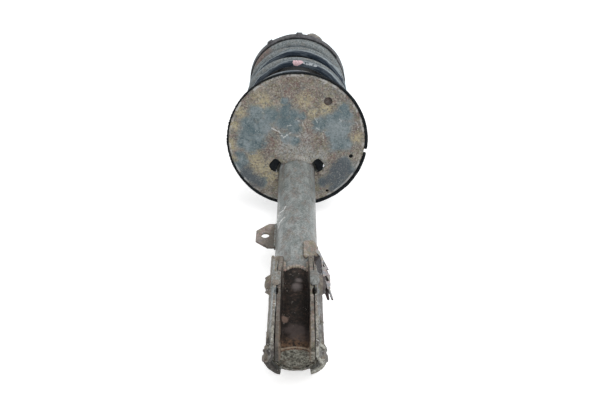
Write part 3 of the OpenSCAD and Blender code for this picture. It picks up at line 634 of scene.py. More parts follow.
def rusty_steel():
    """Steel: dark brown rust in the slot, painted darker as shade, grey-brown edges, orange at the web's
    lower end.
    """
    made = Finish("rusty_steel")
    # Painted shade: the slot's rust is written darker than the rust itself, for the shade inside the slot.
    colour = rust_colour(made, 2.8, ((0.003, 0.002, 0.002), (0.014, 0.010, 0.008),
                                     (0.065, 0.042, 0.032)), 3)
    # Painted highlights: two lighter spots on the web's dimples stand in for light catching them.
    web_highlights = made.both(made.spots([((2.7, -577, 26), 3), ((1.3, -587, 28), 4.5)], 0.4, soft=0.7), 0.75)
    colour = made.mix(web_highlights, colour, (0.20, 0.17, 0.165))
    scaly = made.both(made.spots([((3, -646, 26), 9), ((-4, -640, 26), 6)], 0.8, soft=0.6), 0.6)
    colour = made.mix(scaly, colour, (0.115, 0.088, 0.082))
    flake_rust = made.spots([((-9.5, -627.5, 26), 4)], 0.6, soft=0.3)
    colour = made.mix(made.both(flake_rust, 0.8), colour, (0.22, 0.15, 0.12))
    sideways = made.sum("ABSOLUTE", made.axis("X"))
    away = made.sum("ABSOLUTE", made.facing((1, 0, 0)))
    left = made.step(made.axis("X"), 6, -4)
    rim = made.both(made.step(sideways, 11.6, 12.4), made.step(away, 0.8, 0.5))
    edge = rust_colour(made, 2, ((0.04, 0.033, 0.028), (0.175, 0.154, 0.133), (0.36, 0.335, 0.30)), 6)
    under_bolt = made.step(made.axis("Y"), UPPER_BOLT_Y + 8, UPPER_BOLT_Y - 4)
    edge = made.mix(made.both(left, under_bolt, 0.6), edge, (0.07, 0.058, 0.05))
    colour = made.mix(rim, colour, edge)
    # At the inner plates' lower ends: caked dirt on the right, and a near-black painted shadow of the foot
    # and cap on the left.
    ends = made.both(rim, made.step(made.axis("Z"), 52, 49),
                     made.step(made.axis("Y"), LOWER_BOLT_Y - 2, LOWER_BOLT_Y - 9))
    colour = made.mix(ends, colour, made.mix(made.both(left, 0.85), end_dirt(made), (0.03, 0.026, 0.024)))
    middle = made.step(sideways, 14, 11)
    low = made.step(made.ragged("Y", 5, 18, 4), WEB_LOW_Y + 25, WEB_LOW_Y + 9)
    colour = made.mix(made.both(low, middle, made.step(made.noise(2.6, 4, 0.75), 0.4, 0.56), 0.9), colour,
                      (0.175, 0.105, 0.062))
    lip = made.both(made.step(made.axis("Y"), WEB_LOW_Y + 1.5, WEB_LOW_Y + 0.5), middle,
                    made.step(made.from_axis(), TUBE_R + 2.1, TUBE_R + 2.9),
                    made.step(made.noise(4, 2, 0.5, 8), 0.36, 0.5))
    colour = made.mix(made.both(lip, 0.8), colour, (0.33, 0.27, 0.205))
    fades_from = made.sum("ADD", made.ragged("Y", 5, 12), made.both(left, 10))
    upper_faces = made.both(made.step(fades_from, UPPER_BOLT_Y + 14, UPPER_BOLT_Y + 34),
                            made.step(sideways, 11.4, 12.1), 0.9)
    colour = made.mix(upper_faces, colour, edge)
    worn = made.both(made.chips(1.6, 0.63, 12), 0.7)
    colour = made.mix(worn, colour, (0.34, 0.31, 0.28))
    made.relief((made.noise(8, 3, 0.6, 2), 0.7), (made.noise(2, 4, 0.7, 5), 0.55))
    return made.done(colour, 0.8, IOR=1.4)


def wire_bracket_steel():
    """Thin steel: dusty beige foot, pale strip on top, and a purple-brown rust arm painted darker as
    shade.
    """
    made = Finish("wire_bracket_steel")
    # Dark purple-brown arm: partly rust, partly painted shade where the arm lies below the pale strip.
    colour = rust_colour(made, 2.2, ((0.025, 0.019, 0.019), (0.068, 0.054, 0.054), (0.16, 0.14, 0.135)), 4)
    strip = rust_colour(made, 2, ((0.17, 0.15, 0.155), (0.40, 0.375, 0.38), (0.56, 0.54, 0.54)), 15)
    up = made.both(made.step(made.axis("Z"), 12.6, 13.4), made.step(made.facing((0, 0, 1)), 0.2, 0.6))
    colour = made.mix(up, colour, strip)
    foot = rust_colour(made, 2.2, ((0.09, 0.072, 0.06), (0.235, 0.205, 0.178), (0.38, 0.345, 0.30)), 12)
    near = made.step(made.from_axis(), TUBE_R + 3.9, TUBE_R + 2.9)
    colour = made.mix(near, colour, foot)
    colour = made.mix(made.both(made.chips(1.2, 0.65), 0.6), colour, WHITE_METAL)
    made.relief((made.noise(5, 3), 0.25), (made.noise(1.5, 4, 0.7), 0.25))
    return made.done(colour, 0.8, IOR=1.45)


def tab_steel():
    """Plain steel tab, brown with rust all over, with a painted shadow towards the tube."""
    made = Finish("tab_steel")
    colour = rust_colour(made, 2.2, ((0.10, 0.072, 0.062), (0.255, 0.218, 0.2), (0.40, 0.355, 0.32)), 9)
    # Painted shadow: darker olive towards the tube, where the tube shades the tab.
    inwards = made.sum("SUBTRACT", made.axis("X"), made.both(made.axis("Y"), 0.35))
    tube_shadow = made.both(made.step(inwards, 129, 141), 0.75)
    colour = made.mix(tube_shadow, colour, (0.075, 0.07, 0.058))
    colour = made.mix(made.both(made.chips(1.2, 0.66), 0.6), colour, WHITE_METAL)
    made.relief((made.noise(5, 3), 0.3), (made.noise(1.5, 4, 0.7), 0.3))
    return made.done(colour, 0.85, IOR=1.4)


def arch_rust():
    """Weld gone light brown with rust."""
    made = Finish("arch_rust")
    made.relief((made.noise(3, 3), 0.3), (made.noise(1.2, 4, 0.7), 0.25))
    colour = rust_colour(made, 1.8, ((0.11, 0.083, 0.068), (0.30, 0.25, 0.218), (0.46, 0.41, 0.36)))
    return made.done(colour, 0.8)


def cap_steel():
    """Caked end of the tube, pitted all over."""
    made = Finish("cap_steel")
    made.relief((made.noise(5, 3), 0.8), (made.noise(1.7, 4, 0.7), 0.6))
    return made.done(end_dirt(made), 0.85, IOR=1.4)


def weld_metal():
    """Grey weld, scaled and dusty."""
    made = Finish("weld_metal")
    colour = made.ramp(made.noise(2.2, 4, 0.75, 1), (0.37, (0.095, 0.095, 0.088)),
                       (0.5, (0.215, 0.222, 0.208)), (0.62, (0.35, 0.36, 0.345)))
    colour = made.mix(made.both(made.step(made.noise(6, 3, 0.6, 5), 0.5, 0.62), 0.6), colour,
                      (0.20, 0.15, 0.115))
    colour = made.mix(made.both(made.step(made.axis("X"), 5, 14), 0.4), colour, (0.12, 0.132, 0.135))
    made.relief((made.noise(3, 3), 0.3), (made.noise(1, 4, 0.7), 0.2))
    return made.done(colour, 0.66, Metallic=0.2, IOR=1.5)


def spring_paint():
    """Blue-black enamel on the wire, with grey dust on top, rust on one side and painted highlights."""
    made = Finish("spring_paint")
    up = made.facing((0, 0.25, 0.97))
    top_coil = made.both(made.step(made.axis("Y"), -118, -98), 0.8)
    one_side = made.both(made.step(made.axis("X"), -8, -38), 0.55)
    front = made.step(made.ragged("Z", 9, 30), 50, 66)
    low_coil = made.both(made.step(made.axis("Y"), -228, -240),
                         made.step(made.axis("Y"), -306, -292), front)
    across = made.ragged("X", 8, 16)
    wiped = made.both(low_coil, made.step(across, 20, 8), made.step(across, -40, -12), 1.4)
    settled = made.both(low_coil, made.step(across, 8, 20), 0.25)
    along_wire = made.add("Attribute", attribute_name="wire_place").outputs["Vector"]
    streaky = made.noise(4, 4, 0.6, 0, (0.16, 1, 1), along_wire)
    lie = up
    uneven = made.both(made.noise(4, 3, 0.6), 0.3)
    for more in (made.both(streaky, 0.9), uneven, top_coil, one_side, settled):
        lie = made.sum("ADD", lie, more)
    dusty = made.both(made.step(made.sum("SUBTRACT", lie, wiped), 0.95, 1.45), 0.93)
    worn = made.step(made.noise(5, 4, 0.65, 7, (0.14, 1, 1), along_wire), 0.42, 0.62)
    enamel = made.mix(worn, (0.025, 0.037, 0.054), (0.115, 0.142, 0.17))
    dust = made.ramp(made.noise(2.1, 5, 0.75, 3), (0.38, (0.085, 0.098, 0.102)),
                     (0.5, (0.20, 0.226, 0.232)), (0.62, (0.34, 0.365, 0.365)))
    brownish = made.both(made.step(made.noise(7, 4, 0.65, 19), 0.48, 0.6), 0.45)
    dust = made.mix(made.either(brownish, made.both(settled, 2.4)), dust, (0.205, 0.19, 0.17))
    colour = made.mix(dusty, enamel, dust)
    dull = made.sum("SUBTRACT", 1, made.both(low_coil, 0.5))
    # Painted highlight: a thin light line along the edge of the dust stands in for the gloss highlight on
    # the enamel's ridge.
    ridge_highlight = made.both(made.step(lie, 0.88, 0.98), made.step(lie, 1.18, 1.06), dull, 0.8)
    colour = made.mix(ridge_highlight, colour, (0.30, 0.345, 0.365))
    rusted = made.both(made.spots([((-55, -76, 45), 14), ((-62, -86, 33), 13), ((-50, -80, 52), 9)],
                                  0.9, soft=0.7), 0.85)
    colour = made.mix(rusted, colour, rust_colour(made, 1.8, ((0.05, 0.034, 0.03), (0.185, 0.13, 0.112),
                                                              (0.31, 0.255, 0.225))))
    # Painted highlights: light strokes on the middle and lowest coils stand in for gloss highlights on the
    # enamel.
    painted_highlights = made.strokes([((9, -210, 88.6), (26, -212.2, 85.2)), ((12, -210.3, 88), (21, -211.3, 86.6)),
                           ((-42, -258, 92), (-20, -261.5, 99))], 1.2)
    colour = made.mix(made.both(painted_highlights, 0.8), colour, (0.62, 0.67, 0.70))
    depth = made.add("Attribute", attribute_name="paint_mark").outputs["Fac"]
    mark = made.step(made.sum("ADD", depth, made.both(made.noise(1.4, 2, 0.5), 1.2)), 0.4, 0.8)
    mark_tone = made.mix(made.step(made.noise(1.6, 3, 0.6), 0.4, 0.62), (0.70, 0.45, 0.48),
                         (0.90, 0.66, 0.70))
    colour = made.mix(mark, colour, mark_tone)
    rough = made.mix(made.either(dusty, rusted, mark), plain_grey(0.24), plain_grey(0.84))
    made.relief((made.noise(5, 3), 0.12), (made.noise(1.4, 3, 0.65), 0.08))
    return made.done(colour, rough, IOR=1.38)


def mat_rubber():
    """Black rubber, with dust where it shows through the dish's locating hole."""
    made = Finish("mat_rubber")
    colour = made.mix(made.step(made.noise(6, 4, 0.65), 0.42, 0.7), (0.008, 0.01, 0.012),
                      (0.022, 0.026, 0.028))
    hole = on_seat(LOCATING_HOLE[0], SEAT_T, LOCATING_HOLE[1])
    dusty = made.both(made.spots([(tuple(hole), 6.5)], 0.3, soft=0.4), 0.85)
    colour = made.mix(dusty, colour, rust_colour(made, 2, ((0.05, 0.042, 0.038), (0.12, 0.102, 0.094),
                                                           (0.2, 0.178, 0.165))))
    made.relief((made.noise(5, 3), 0.25), (made.noise(1.1, 3, 0.6), 0.1))
    return made.done(colour, 0.8, IOR=1.2)


def rubber(name, dark, light, gloss=0.6, dusting=0.5):
    """Moulded rubber with dust in its pores and paler worn patches."""
    made = Finish(name)
    colour = made.mix(made.step(made.noise(6, 4, 0.65), 0.42, 0.7), dark, light)
    dust = made.both(made.step(made.noise(1.8, 4, 0.7, 5), 0.55, 0.75), dusting)
    colour = made.mix(dust, colour, (0.14, 0.135, 0.125))
    made.relief((made.noise(5, 3), 0.25), (made.noise(1.1, 3, 0.6), 0.1))
    return made.done(colour, made.mix(dust, plain_grey(gloss), plain_grey(0.9)), IOR=1.5)


def plain_metal(name, low, high, rough, stain=0.25, metal=1.0, turned=False):
    """Machined or plated metal with its tool marks and a little staining."""
    made = Finish(name)
    streaks = made.noise(0.35, 2, 0.5, 3, (0.04, 1, 0.04)) if turned else made.noise(1.2, 3, 0.6)
    colour = made.mix(made.step(made.noise(5, 4, 0.6), 0.38, 0.66), low, high)
    stained = made.both(made.step(made.noise(4, 4, 0.65, 8), 0.52, 0.68), stain)
    colour = made.mix(stained, colour, (0.16, 0.115, 0.08))
    made.relief((streaks, 0.03), (made.noise(3, 3), 0.05))
    return made.done(colour, made.mix(stained, plain_grey(rough), plain_grey(0.85)), Metallic=metal)


def plate_steel():
    """Dusty plated steel of the top mount."""
    made = Finish("plate_steel")
    colour = made.mix(made.step(made.noise(6, 4, 0.6), 0.38, 0.62), (0.31, 0.30, 0.285),
                      (0.52, 0.485, 0.435))
    colour = made.mix(made.both(made.step(made.noise(4, 4, 0.65, 7), 0.5, 0.66), 0.7), colour,
                      rust_colour(made, 2, ((0.12, 0.095, 0.08), (0.27, 0.235, 0.2), (0.4, 0.36, 0.3))))
    made.relief((made.noise(6, 3), 0.25), (made.noise(1.5, 4, 0.65), 0.2))
    return made.done(colour, 0.75, IOR=1.45)


def pan_paint():
    """Black enamel of the upper seat, dulled by dust and spotted with rust."""
    made = Finish("pan_paint")
    colour = made.mix(made.step(made.noise(7, 4, 0.65), 0.42, 0.68), (0.02, 0.022, 0.025),
                      (0.075, 0.078, 0.078))
    rusted = made.both(made.step(made.noise(9, 4, 0.7, 9), 0.56, 0.66), 0.85)
    colour = made.mix(rusted, colour, rust_colour(made, 2.2))
    made.relief((rusted, 0.1), (made.noise(1.8, 4, 0.65), 0.15))
    return made.done(colour, made.mix(rusted, plain_grey(0.5), plain_grey(0.88)), IOR=1.5)


def foam():
    """Yellowed cellular foam."""
    made = Finish("foam")
    colour = made.mix(made.step(made.noise(6, 4, 0.6), 0.35, 0.65), (0.42, 0.32, 0.14), (0.56, 0.47, 0.26))
    colour = made.mix(made.both(made.step(made.noise(1.1, 3, 0.7, 2), 0.55, 0.7), 0.7), colour,
                      (0.12, 0.09, 0.05))
    made.relief((made.noise(1, 3, 0.7), 0.25))
    return made.done(colour, 0.95)


SEAT_PAINT = seat_paint()
TUBE_PAINT = tube_paint()
BRACKET_STEEL = bracket_steel()
SLOT_RUST_AND_SHADE = rusty_steel()
TAB_STEEL = tab_steel()
WIRE_BRACKET_STEEL = wire_bracket_steel()
CAP_STEEL = cap_steel()
ARCH_RUST = arch_rust()
WELD_METAL = weld_metal()
SPRING_PAINT = spring_paint()
MAT_RUBBER = mat_rubber()
RING_RUBBER = rubber("ring_rubber", (0.024, 0.024, 0.028), (0.10, 0.10, 0.11), 0.55, 0.45)
BOOT_RUBBER = rubber("boot_rubber", (0.008, 0.009, 0.010), (0.022, 0.023, 0.024), 0.65)
PLATE_STEEL = plate_steel()
PAN_PAINT = pan_paint()
FOAM = foam()
ROD_CHROME = plain_metal("rod_chrome", (0.62, 0.63, 0.64), (0.74, 0.75, 0.76), 0.14, 0.1)
BEARING_STEEL = plain_metal("bearing_steel", (0.42, 0.41, 0.40), (0.58, 0.57, 0.55), 0.3, 0.4, turned=True)
BARE_STEEL = plain_metal("bare_steel", (0.36, 0.355, 0.345), (0.5, 0.495, 0.48), 0.42, 0.4, turned=True)
ZINC = plain_metal("zinc", (0.42, 0.40, 0.34), (0.60, 0.57, 0.48), 0.4, 0.55)
SINTERED = plain_metal("sintered_iron", (0.16, 0.158, 0.15), (0.25, 0.245, 0.235), 0.6, 0.3)
SLIDE_BAND = plain_metal("slide_band", (0.035, 0.10, 0.085), (0.06, 0.15, 0.125), 0.45, 0.2, 0.0)
CAGE_PLASTIC = plain_metal("cage_plastic", (0.42, 0.35, 0.22), (0.55, 0.48, 0.33), 0.5, 0.3, 0.0)


# ---- Strut body ----

BEAD_STEP = 0.7


def weld_bead(points, width, ripple=2.2):
    """A weld bead with its ripples along a path of points a fraction of a millimetre apart."""
    run = 0
    radii = []
    for i, place in enumerate(points):
        run += (Vector(place) - Vector(points[i - 1])).length if i else 0
        swell = 0.13 * math.cos(2 * math.pi * run / ripple) + random.uniform(-0.05, 0.05)
        radii.append(width / 2 * (1 + swell))
    return swept(points, radii)


def arc(radius, y, start, end):
    """Points round the damper at one height, between two angles from +Z towards +X."""
    count = round(math.radians(end - start) * radius / BEAD_STEP)
    turns = [math.radians(start + (end - start) * i / count) for i in range(count + 1)]
    return [(radius * math.sin(a), y, radius * math.cos(a)) for a in turns]


def dome(place, radius, height):
    """A shallow round bump that stands along Z. Millimetres."""
    deselect()
    bpy.ops.mesh.primitive_uv_sphere_add(segments=24, ring_count=12, radius=radius * MM,
                                         location=Vector(place) * MM)
    bump = bpy.context.object
    bump.scale = (1, 1, height / radius)
    settle(bump)
    return bump


def flake(place, size):
    """A crooked scale of rust that stands off the surface."""
    deselect()
    bpy.ops.mesh.primitive_cube_add(size=MM, location=Vector(place) * MM)
    chip = bpy.context.object
    chip.scale = size
    chip.rotation_euler = (0.25, -0.35, 0.5)
    settle(chip)
    edit(chip)
    bpy.ops.mesh.subdivide(number_cuts=5)
    bpy.ops.object.mode_set(mode="OBJECT")
    lumpy(chip, 2.2, 3)
    return chip


scales = [flake(place, size) for place, size in (
    ((22.5, -672, 40), (4, 7, 6)), ((24, -664, 28), (4, 6, 6)), ((22, -682, 34), (4, 5, 6)),
    ((-22.5, -676, 40), (4, 6, 6)), ((-24, -668, 28), (4, 6, 5)), ((21.5, -654, 50), (3, 6, 5)),
)]


def ear_filler(side):
    """Weld metal in the gap between both plates, up to the sloping edge of one ear."""
    top, depth = EAR_TOP_Y - 1, 60
    between_plates = [(15.2, 13), (19.6, 11), (19.6, 40), (15.2, 40)]
    filler = prism([(side * x, top, z) for x, z in between_plates], (0, -depth, 0))
    bpy.ops.mesh.select_all(action="SELECT")
    bpy.ops.mesh.bisect(plane_co=(0, top * MM, 23.2 * MM), plane_no=(0, 0.12, 0.993), use_fill=True,
                        clear_outer=True)
    close_up(filler)
    return filler


fillers = [ear_filler(-1), ear_filler(1)]
outer = wrought("knuckle_bracket_outer", 1.0, 3, dents=1.1, pits=0.45, grown_on=scales + fillers)
dress(outer, "bracket_outer_plate", BRACKET_STEEL, "strut_body", ["knuckle_bracket_outer"])

bumps = [dome((1.3, -586, WEB_R - 1), 6.5, 3.2), dome((4, -642, WEB_R - 1), 7, 2.6),
         flake((-9.5, -627, WEB_R - 2), (4, 7, 3))]
inner = wrought("knuckle_bracket_inner", 1.0, 3, dents=0.8, pits=0.4, grown_on=bumps)
dress(inner, "bracket_inner_plate", SLOT_RUST_AND_SHADE, "strut_body", ["knuckle_bracket_inner"])


def fillet_welds():
    """Weld beads: seat neck, bracket's upper edge behind the tube, and hose tab."""
    neck = arc(TUBE_R + 1.4, SEAT_Y + NECK_HIGH + 0.4, 0, 360)
    behind = arc(TUBE_R + 1.2, EAR_TOP_Y + 0.6, 80, 280)
    beads = [weld_bead(neck, 4.4), weld_bead(behind, 4.6)]
    for face in (-1, 1):
        run = [(-TUBE_R - 0.3, i * BEAD_STEP, face * 2.1) for i in
               range(round((TAB_LOW_Y + 1) / BEAD_STEP), round((TAB_HIGH_Y - 1) / BEAD_STEP))]
        beads.append(weld_bead(run, 2.8))
    return joined(beads)


def arch_weld():
    """The rusty bead over the arched edge of the inner plate's web, and up in its two corners."""
    reach, steps, radius = 13, 60, 25.4
    path = []
    for i in range(steps + 1):
        side = -reach + 2 * reach * i / steps
        path.append((side, WEB_TOP_Y - 1 - 4 * (side / 12.4) ** 2, math.sqrt(radius ** 2 - side ** 2)))
    beads = [weld_bead(path, 4.6, 3)]
    for side in (-12.1, 12.1):
        leg = [(side, WEB_TOP_Y + 11 - i * BEAD_STEP, 19.4 + 0.15 * i) for i in range(23)]
        beads.append(weld_bead(leg, 4.4, 3))
    bead = joined(beads)
    lumpy(bead, 0.9, 3)
    return bead


welds = fillet_welds()
dress(welds, "fillet_welds", WELD_METAL, "strut_body")
arch = arch_weld()
dress(arch, "arch_weld", ARCH_RUST, "strut_body")

left_pad_edge = swept([(-19.2, SEAT_Y - 243, 52.9), (-19.2, SEAT_Y - 257, 52.9)], [2.5, 2.5])
pads = wrought("bracket_welds", 0.5, 3, dents=1.0, pits=0.4, grown_on=[left_pad_edge])
dress(pads, "bracket_weld_pads", WELD_METAL, "strut_body", ["bracket_welds"])


def root_fillet():
    """The rounded root of the tube on the dish's lower face, between its two windows."""
    steps, half_turn, radius = 80, 42, TUBE_R + 0.6
    path = []
    thickness = []
    for i in range(steps + 1):
        turn = math.radians(-half_turn + 2 * half_turn * i / steps)
        side, along = radius * math.sin(turn), radius * math.cos(turn)
        path.append((side, SEAT_Y + along * math.tan(math.radians(SEAT_TILT)) - 0.4, along))
        thickness.append(3.4 * min(1, 0.25 + 0.07 * min(i, steps - i)))
    return swept(path, thickness, round_steps=4)


dish = wrought("lower_spring_seat", 1.0, 2, dents=0.5, pits=0.2, grown_on=[root_fillet()])


def widen(piece, start, end, by, lowest, highest):
    """Moves the points of a piece outwards on the dish between these radii and heights."""
    tilt = math.radians(SEAT_TILT)
    for vertex in piece.data.vertices:
        side, y, z = vertex.co / MM
        height = (y - SEAT_Y) * math.cos(tilt) - z * math.sin(tilt)
        along = (y - SEAT_Y) * math.sin(tilt) + z * math.cos(tilt) - SEAT_OFFSET
        away = math.hypot(side, along)
        if start < away < end and lowest < height < highest:
            share = (away + by * min(1, (away - start) / 2)) / away
            vertex.co = on_seat(side * share, height, SEAT_OFFSET + along * share) * MM


widen(dish, start=79.5, end=84, by=1.5, lowest=-3, highest=9)
dress(dish, "seat_dish", SEAT_PAINT, "strut_body", ["lower_spring_seat"])

tab = wrought("brake_hose_tab", 0.6, 2, dents=0.4, pits=0.25)
dress(tab, "hose_tab", TAB_STEEL, "strut_body", ["brake_hose_tab"])

wire_bracket = wrought("sensor_wire_bracket", 0.6, 2, dents=0.4, pits=0.25)
dress(wire_bracket, "wire_bracket", WIRE_BRACKET_STEEL, "strut_body",
      ["sensor_wire_bracket"])

cap = wrought("bottom_cap", 0.7, 2, dents=1.0, pits=0.4)
dress(cap, "end_cap", CAP_STEEL, "strut_body", ["bottom_cap"])


def cut_through_seat(piece, outline):
    """Cuts a hole of this outline, given as (side, along) on the seat, right through the piece."""
    below, deep = -5, 20
    cutter = prism([on_seat(side, below, along) for side, along in outline],
                   on_seat(0, deep, 0) - on_seat(0, 0, 0))
    close_up(cutter)
    modifier(piece, "BOOLEAN", object=cutter, operation="DIFFERENCE", solver="EXACT")
    bpy.data.objects.remove(cutter)


mat = wrought("lower_insulator", 1.1, 2, dents=0.8, pits=0.15)
cut_through_seat(mat, [(30.6, 4), (37.4, 3.6), (38.8, 15.8), (33.8, 15.8), (32.4, 9.5)])
widen(mat, start=81, end=84.3, by=1.7, lowest=-4, highest=1.2)
close_up(mat, 40)
dress(mat, "lower_rubber", MAT_RUBBER, "strut_body", ["lower_insulator"])


# ---- Coil spring ----

LOW_RISE = SEAT_T + RUBBER_T - 0.5 + WIRE_R + FIT
FIRST_TURN = -0.75
LIFT_TURN = -0.05
LAND_TURN = 4.36
LAST_TURN = 5.1
EASE_TURN = 0.2
STEPS_PER_TURN = 96
MARK_Y = -207
MARK_LEFT = -7.3
MARK_RIGHT = 9.1
MARK_LOW = 82.1
MARK_HIGH = 91.3
OFF_MARK = -5


def bend(turn):
    """0 before turn 0 and the turn itself after it, with the corner between them rounded."""
    if turn < -EASE_TURN:
        return 0
    return turn if turn > EASE_TURN else (turn + EASE_TURN) ** 2 / (4 * EASE_TURN)


def coil_point(turn):
    """Centre of the wire at this turn, where turn 0 is the +Z side of the lowest coil. Millimetres."""
    share = (bend(turn - LIFT_TURN) - bend(turn - LAND_TURN)) / (LAND_TURN - LIFT_TURN)
    low = on_seat(0, LOW_RISE, COIL_OFFSET)
    high = Vector((0, RING_Y - RING_T - WIRE_R - FIT, TOP_OFFSET))
    middle = low.lerp(high, share)
    middle.z += 4 * COIL_BOW * share * (1 - share)
    tilt = math.radians(SEAT_TILT) * (1 - share)
    around = math.radians(90 + 360 * turn)
    out = Vector((math.cos(around), math.sin(around) * math.sin(tilt),
                  math.sin(around) * math.cos(tilt)))
    return middle + COIL_R * out


def wire_turns():
    """The turns, from the wire's lower end to its upper one, at which its centre is worked out."""
    steps = round((LAST_TURN - FIRST_TURN) * STEPS_PER_TURN)
    return [FIRST_TURN + (LAST_TURN - FIRST_TURN) * i / steps for i in range(steps + 1)]


def coil_spring():
    """The spring's wire, from its lower end to its upper one."""
    turns = wire_turns()
    return swept([coil_point(n) for n in turns], [WIRE_R] * len(turns), round_steps=6)


def wire_place(piece):
    """Where each point of the wire lies: millimetres along it, and round it from its outer side."""
    turns = wire_turns()
    middles = [coil_point(n) for n in turns]
    nearest = KDTree(len(middles))
    for i, middle in enumerate(middles):
        nearest.insert(middle, i)
    nearest.balance()
    place = piece.data.attributes.new("wire_place", "FLOAT_VECTOR", "POINT")
    for i, vertex in enumerate(piece.data.vertices):
        middle, found, _ = nearest.find(vertex.co / MM)
        around = math.radians(90 + 360 * turns[found])
        out = Vector((math.cos(around), 0, math.sin(around)))
        off = vertex.co / MM - middle
        round_wire = math.atan2(off.y, off.dot(out)) * WIRE_R
        place.data[i].vector = (turns[found] * 2 * math.pi * COIL_R, round_wire, 0)


def paint_mark(piece):
    """A dab of paint on the middle coil: how deep inside it each point of the wire is."""
    mark = piece.data.attributes.new("paint_mark", "FLOAT", "POINT")
    for i, vertex in enumerate(piece.data.vertices):
        side, along, up = vertex.co / MM
        slanted_side = side - MARK_LEFT - (MARK_HIGH - up) * 0.45
        slanted_foot = (up - MARK_LOW - (side + 2.2) * 0.62) * 0.8
        depth = min(slanted_side, MARK_RIGHT - side, MARK_HIGH - up, slanted_foot)
        mark.data[i].value = depth if MARK_Y - 5 < along < MARK_Y + 5 else OFF_MARK


spring = coil_spring()
wire_place(spring)
paint_mark(spring)
dress(spring, "spring_wire", SPRING_PAINT, None, ["coil_spring"])
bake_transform(spring)


# ---- Boot, stop and rubber rings ----

def dust_boot():
    """Bellows with rounded folds, a collar over the tube's end and a lip under the pan."""
    folds = 14
    low, high = TUBE_TOP_Y - 2, PAN_MID_Y - PAN_T - 6
    valley, peak, wall = 27, 32, 1.4
    per_fold = 10
    outside = []
    for i in range(folds * per_fold + 1):
        share = i / (folds * per_fold)
        wave = 0.5 - 0.5 * math.cos(2 * math.pi * folds * share)
        outside.append((valley + (peak - valley) * wave ** 0.8, low + (high - low) * share))
    inside = [(r - wall, y) for r, y in reversed(outside)]
    collar = [(TUBE_R + 0.4, low - 8), (TUBE_R + 1, low - 8.6), (TUBE_R + 2.6, low - 8.4),
              (TUBE_R + 2.9, low - 7), (TUBE_R + 2.9, low - 5), (TUBE_R + 2.2, low - 4),
              (TUBE_R + 2.9, low - 3)]
    lip = [(valley + 1.8, high + 1.5), (valley + 1.8, high + 5.6), (22.8, high + 5.6),
           (22.8, high + 0.8)]
    return lathe(collar + outside + lip + inside + [(TUBE_R + 0.4, low - 1)])


boot = dust_boot()
dress(boot, "dust_bellows", BOOT_RUBBER, "rod", ["dust_boot"])
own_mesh(boot)

ring = wrought("upper_insulator", 1.0, 2, dents=0.8, pits=0.15)
dress(ring, "upper_rubber", RING_RUBBER, "rod", ["upper_insulator"])

pan = wrought("upper_spring_seat", 1.2, 2, dents=0.4, pits=0.15)
dress(pan, "upper_pan", PAN_PAINT, "rod", ["upper_spring_seat"])


def bump_stop():
    """Foam stop of three soft beads round the rod."""
    low = TUBE_TOP_Y + TUBE_CAP_T + STROKE + FREE
    top = PAN_MID_Y - PAN_T - 0.1
    beads = [(low + 1, 16.5), (low + 9, 18.4), (low + 17, 15.8), (low + 24, 15.8), (low + 37, 20.4),
             (low + 50, 17.2), (low + 55, 17.2), (low + 64, 22.2), (top - 1, 22.2)]
    bore_r, steps = 10.6, 6
    outside = []
    for (y0, r0), (y1, r1) in zip(beads, beads[1:]):
        for i in range(steps):
            share = 0.5 - 0.5 * math.cos(math.pi * i / steps)
            outside.append((r0 + (r1 - r0) * share, y0 + (y1 - y0) * i / steps))
    return lathe([(bore_r, low), (15.5, low)] + outside + [(22, top), (bore_r, top)], 64)


stop = bump_stop()
dress(stop, "foam_stop", FOAM, "rod", ["bump_stop"])


# ---- Top mount ----

plate = wrought("mount_plate", 0.9, 2, dents=0.3, pits=0.2)
dress(plate, "tower_plate", PLATE_STEEL, "top_mount", ["mount_plate"])

mount_block = wrought("mount_rubber", 0.9, 2, dents=0.4, pits=0.15)
dress(mount_block, "mount_cushion", RING_RUBBER, "top_mount", ["mount_rubber"])


def threaded_rod(radius, pitch, low, high, depth=0.55, sides=32, rings=6):
    """A rod along Y with a cut thread along its length, chamfered at its high end. Millimetres."""
    deselect()
    bpy.ops.mesh.primitive_circle_add(vertices=sides, radius=radius * MM, fill_type="NGON",
                                      rotation=(math.pi / 2, 0, 0), location=(0, low * MM, 0))
    piece = bpy.context.object
    settle(piece)
    edit(piece)
    count = round((high - low) / pitch * rings)
    step = (0, (high - low) / count * MM, 0)
    for _ in range(count):
        bpy.ops.mesh.extrude_region_move(TRANSFORM_OT_translate={"value": step})
    bpy.ops.object.mode_set(mode="OBJECT")
    for vertex in piece.data.vertices:
        y = vertex.co.y / MM
        turn = math.atan2(vertex.co.x, vertex.co.z) / (2 * math.pi)
        groove = abs(2 * ((y / pitch - turn) % 1) - 1)
        chamfer = max(0, 1 - (high - y)) * 0.9
        scale = 1 - max(depth * groove, chamfer) / radius
        vertex.co.x *= scale
        vertex.co.z *= scale
    close_up(piece, 25)
    return piece


def tower_studs():
    """Three studs, each with its head under the plate, its press-fit collar and its thread."""
    head_r, head_low, head_high = 6.5, -PLATE_T - 2.5, -PLATE_T - 0.1
    collar_r, shank_r, shank_high = STUD_R + 0.5, STUD_R - 0.1, 1.2
    studs = []
    for i in range(3):
        body = lathe([(0, head_low), (head_r - 0.5, head_low), (head_r, head_low + 0.5),
                      (head_r, head_high), (collar_r, head_high), (collar_r, 0), (shank_r, 0.3),
                      (shank_r, shank_high), (0, shank_high)], 48, closed=False)
        stud = joined([body, threaded_rod(STUD_R - 0.02, pitch=1.25, low=1, high=STUD_LEN)])
        turn = math.radians(LOBE_TURN + 120 * i)
        stud.location = (STUD_CIRCLE_R * math.sin(turn) * MM, 0, STUD_CIRCLE_R * math.cos(turn) * MM)
        settle(stud)
        studs.append(stud)
    return joined(studs)


studs = tower_studs()
dress(studs, "threaded_studs", ZINC, "top_mount", ["tower_studs"])


# ---- Pieces that stay as the construction has them ----

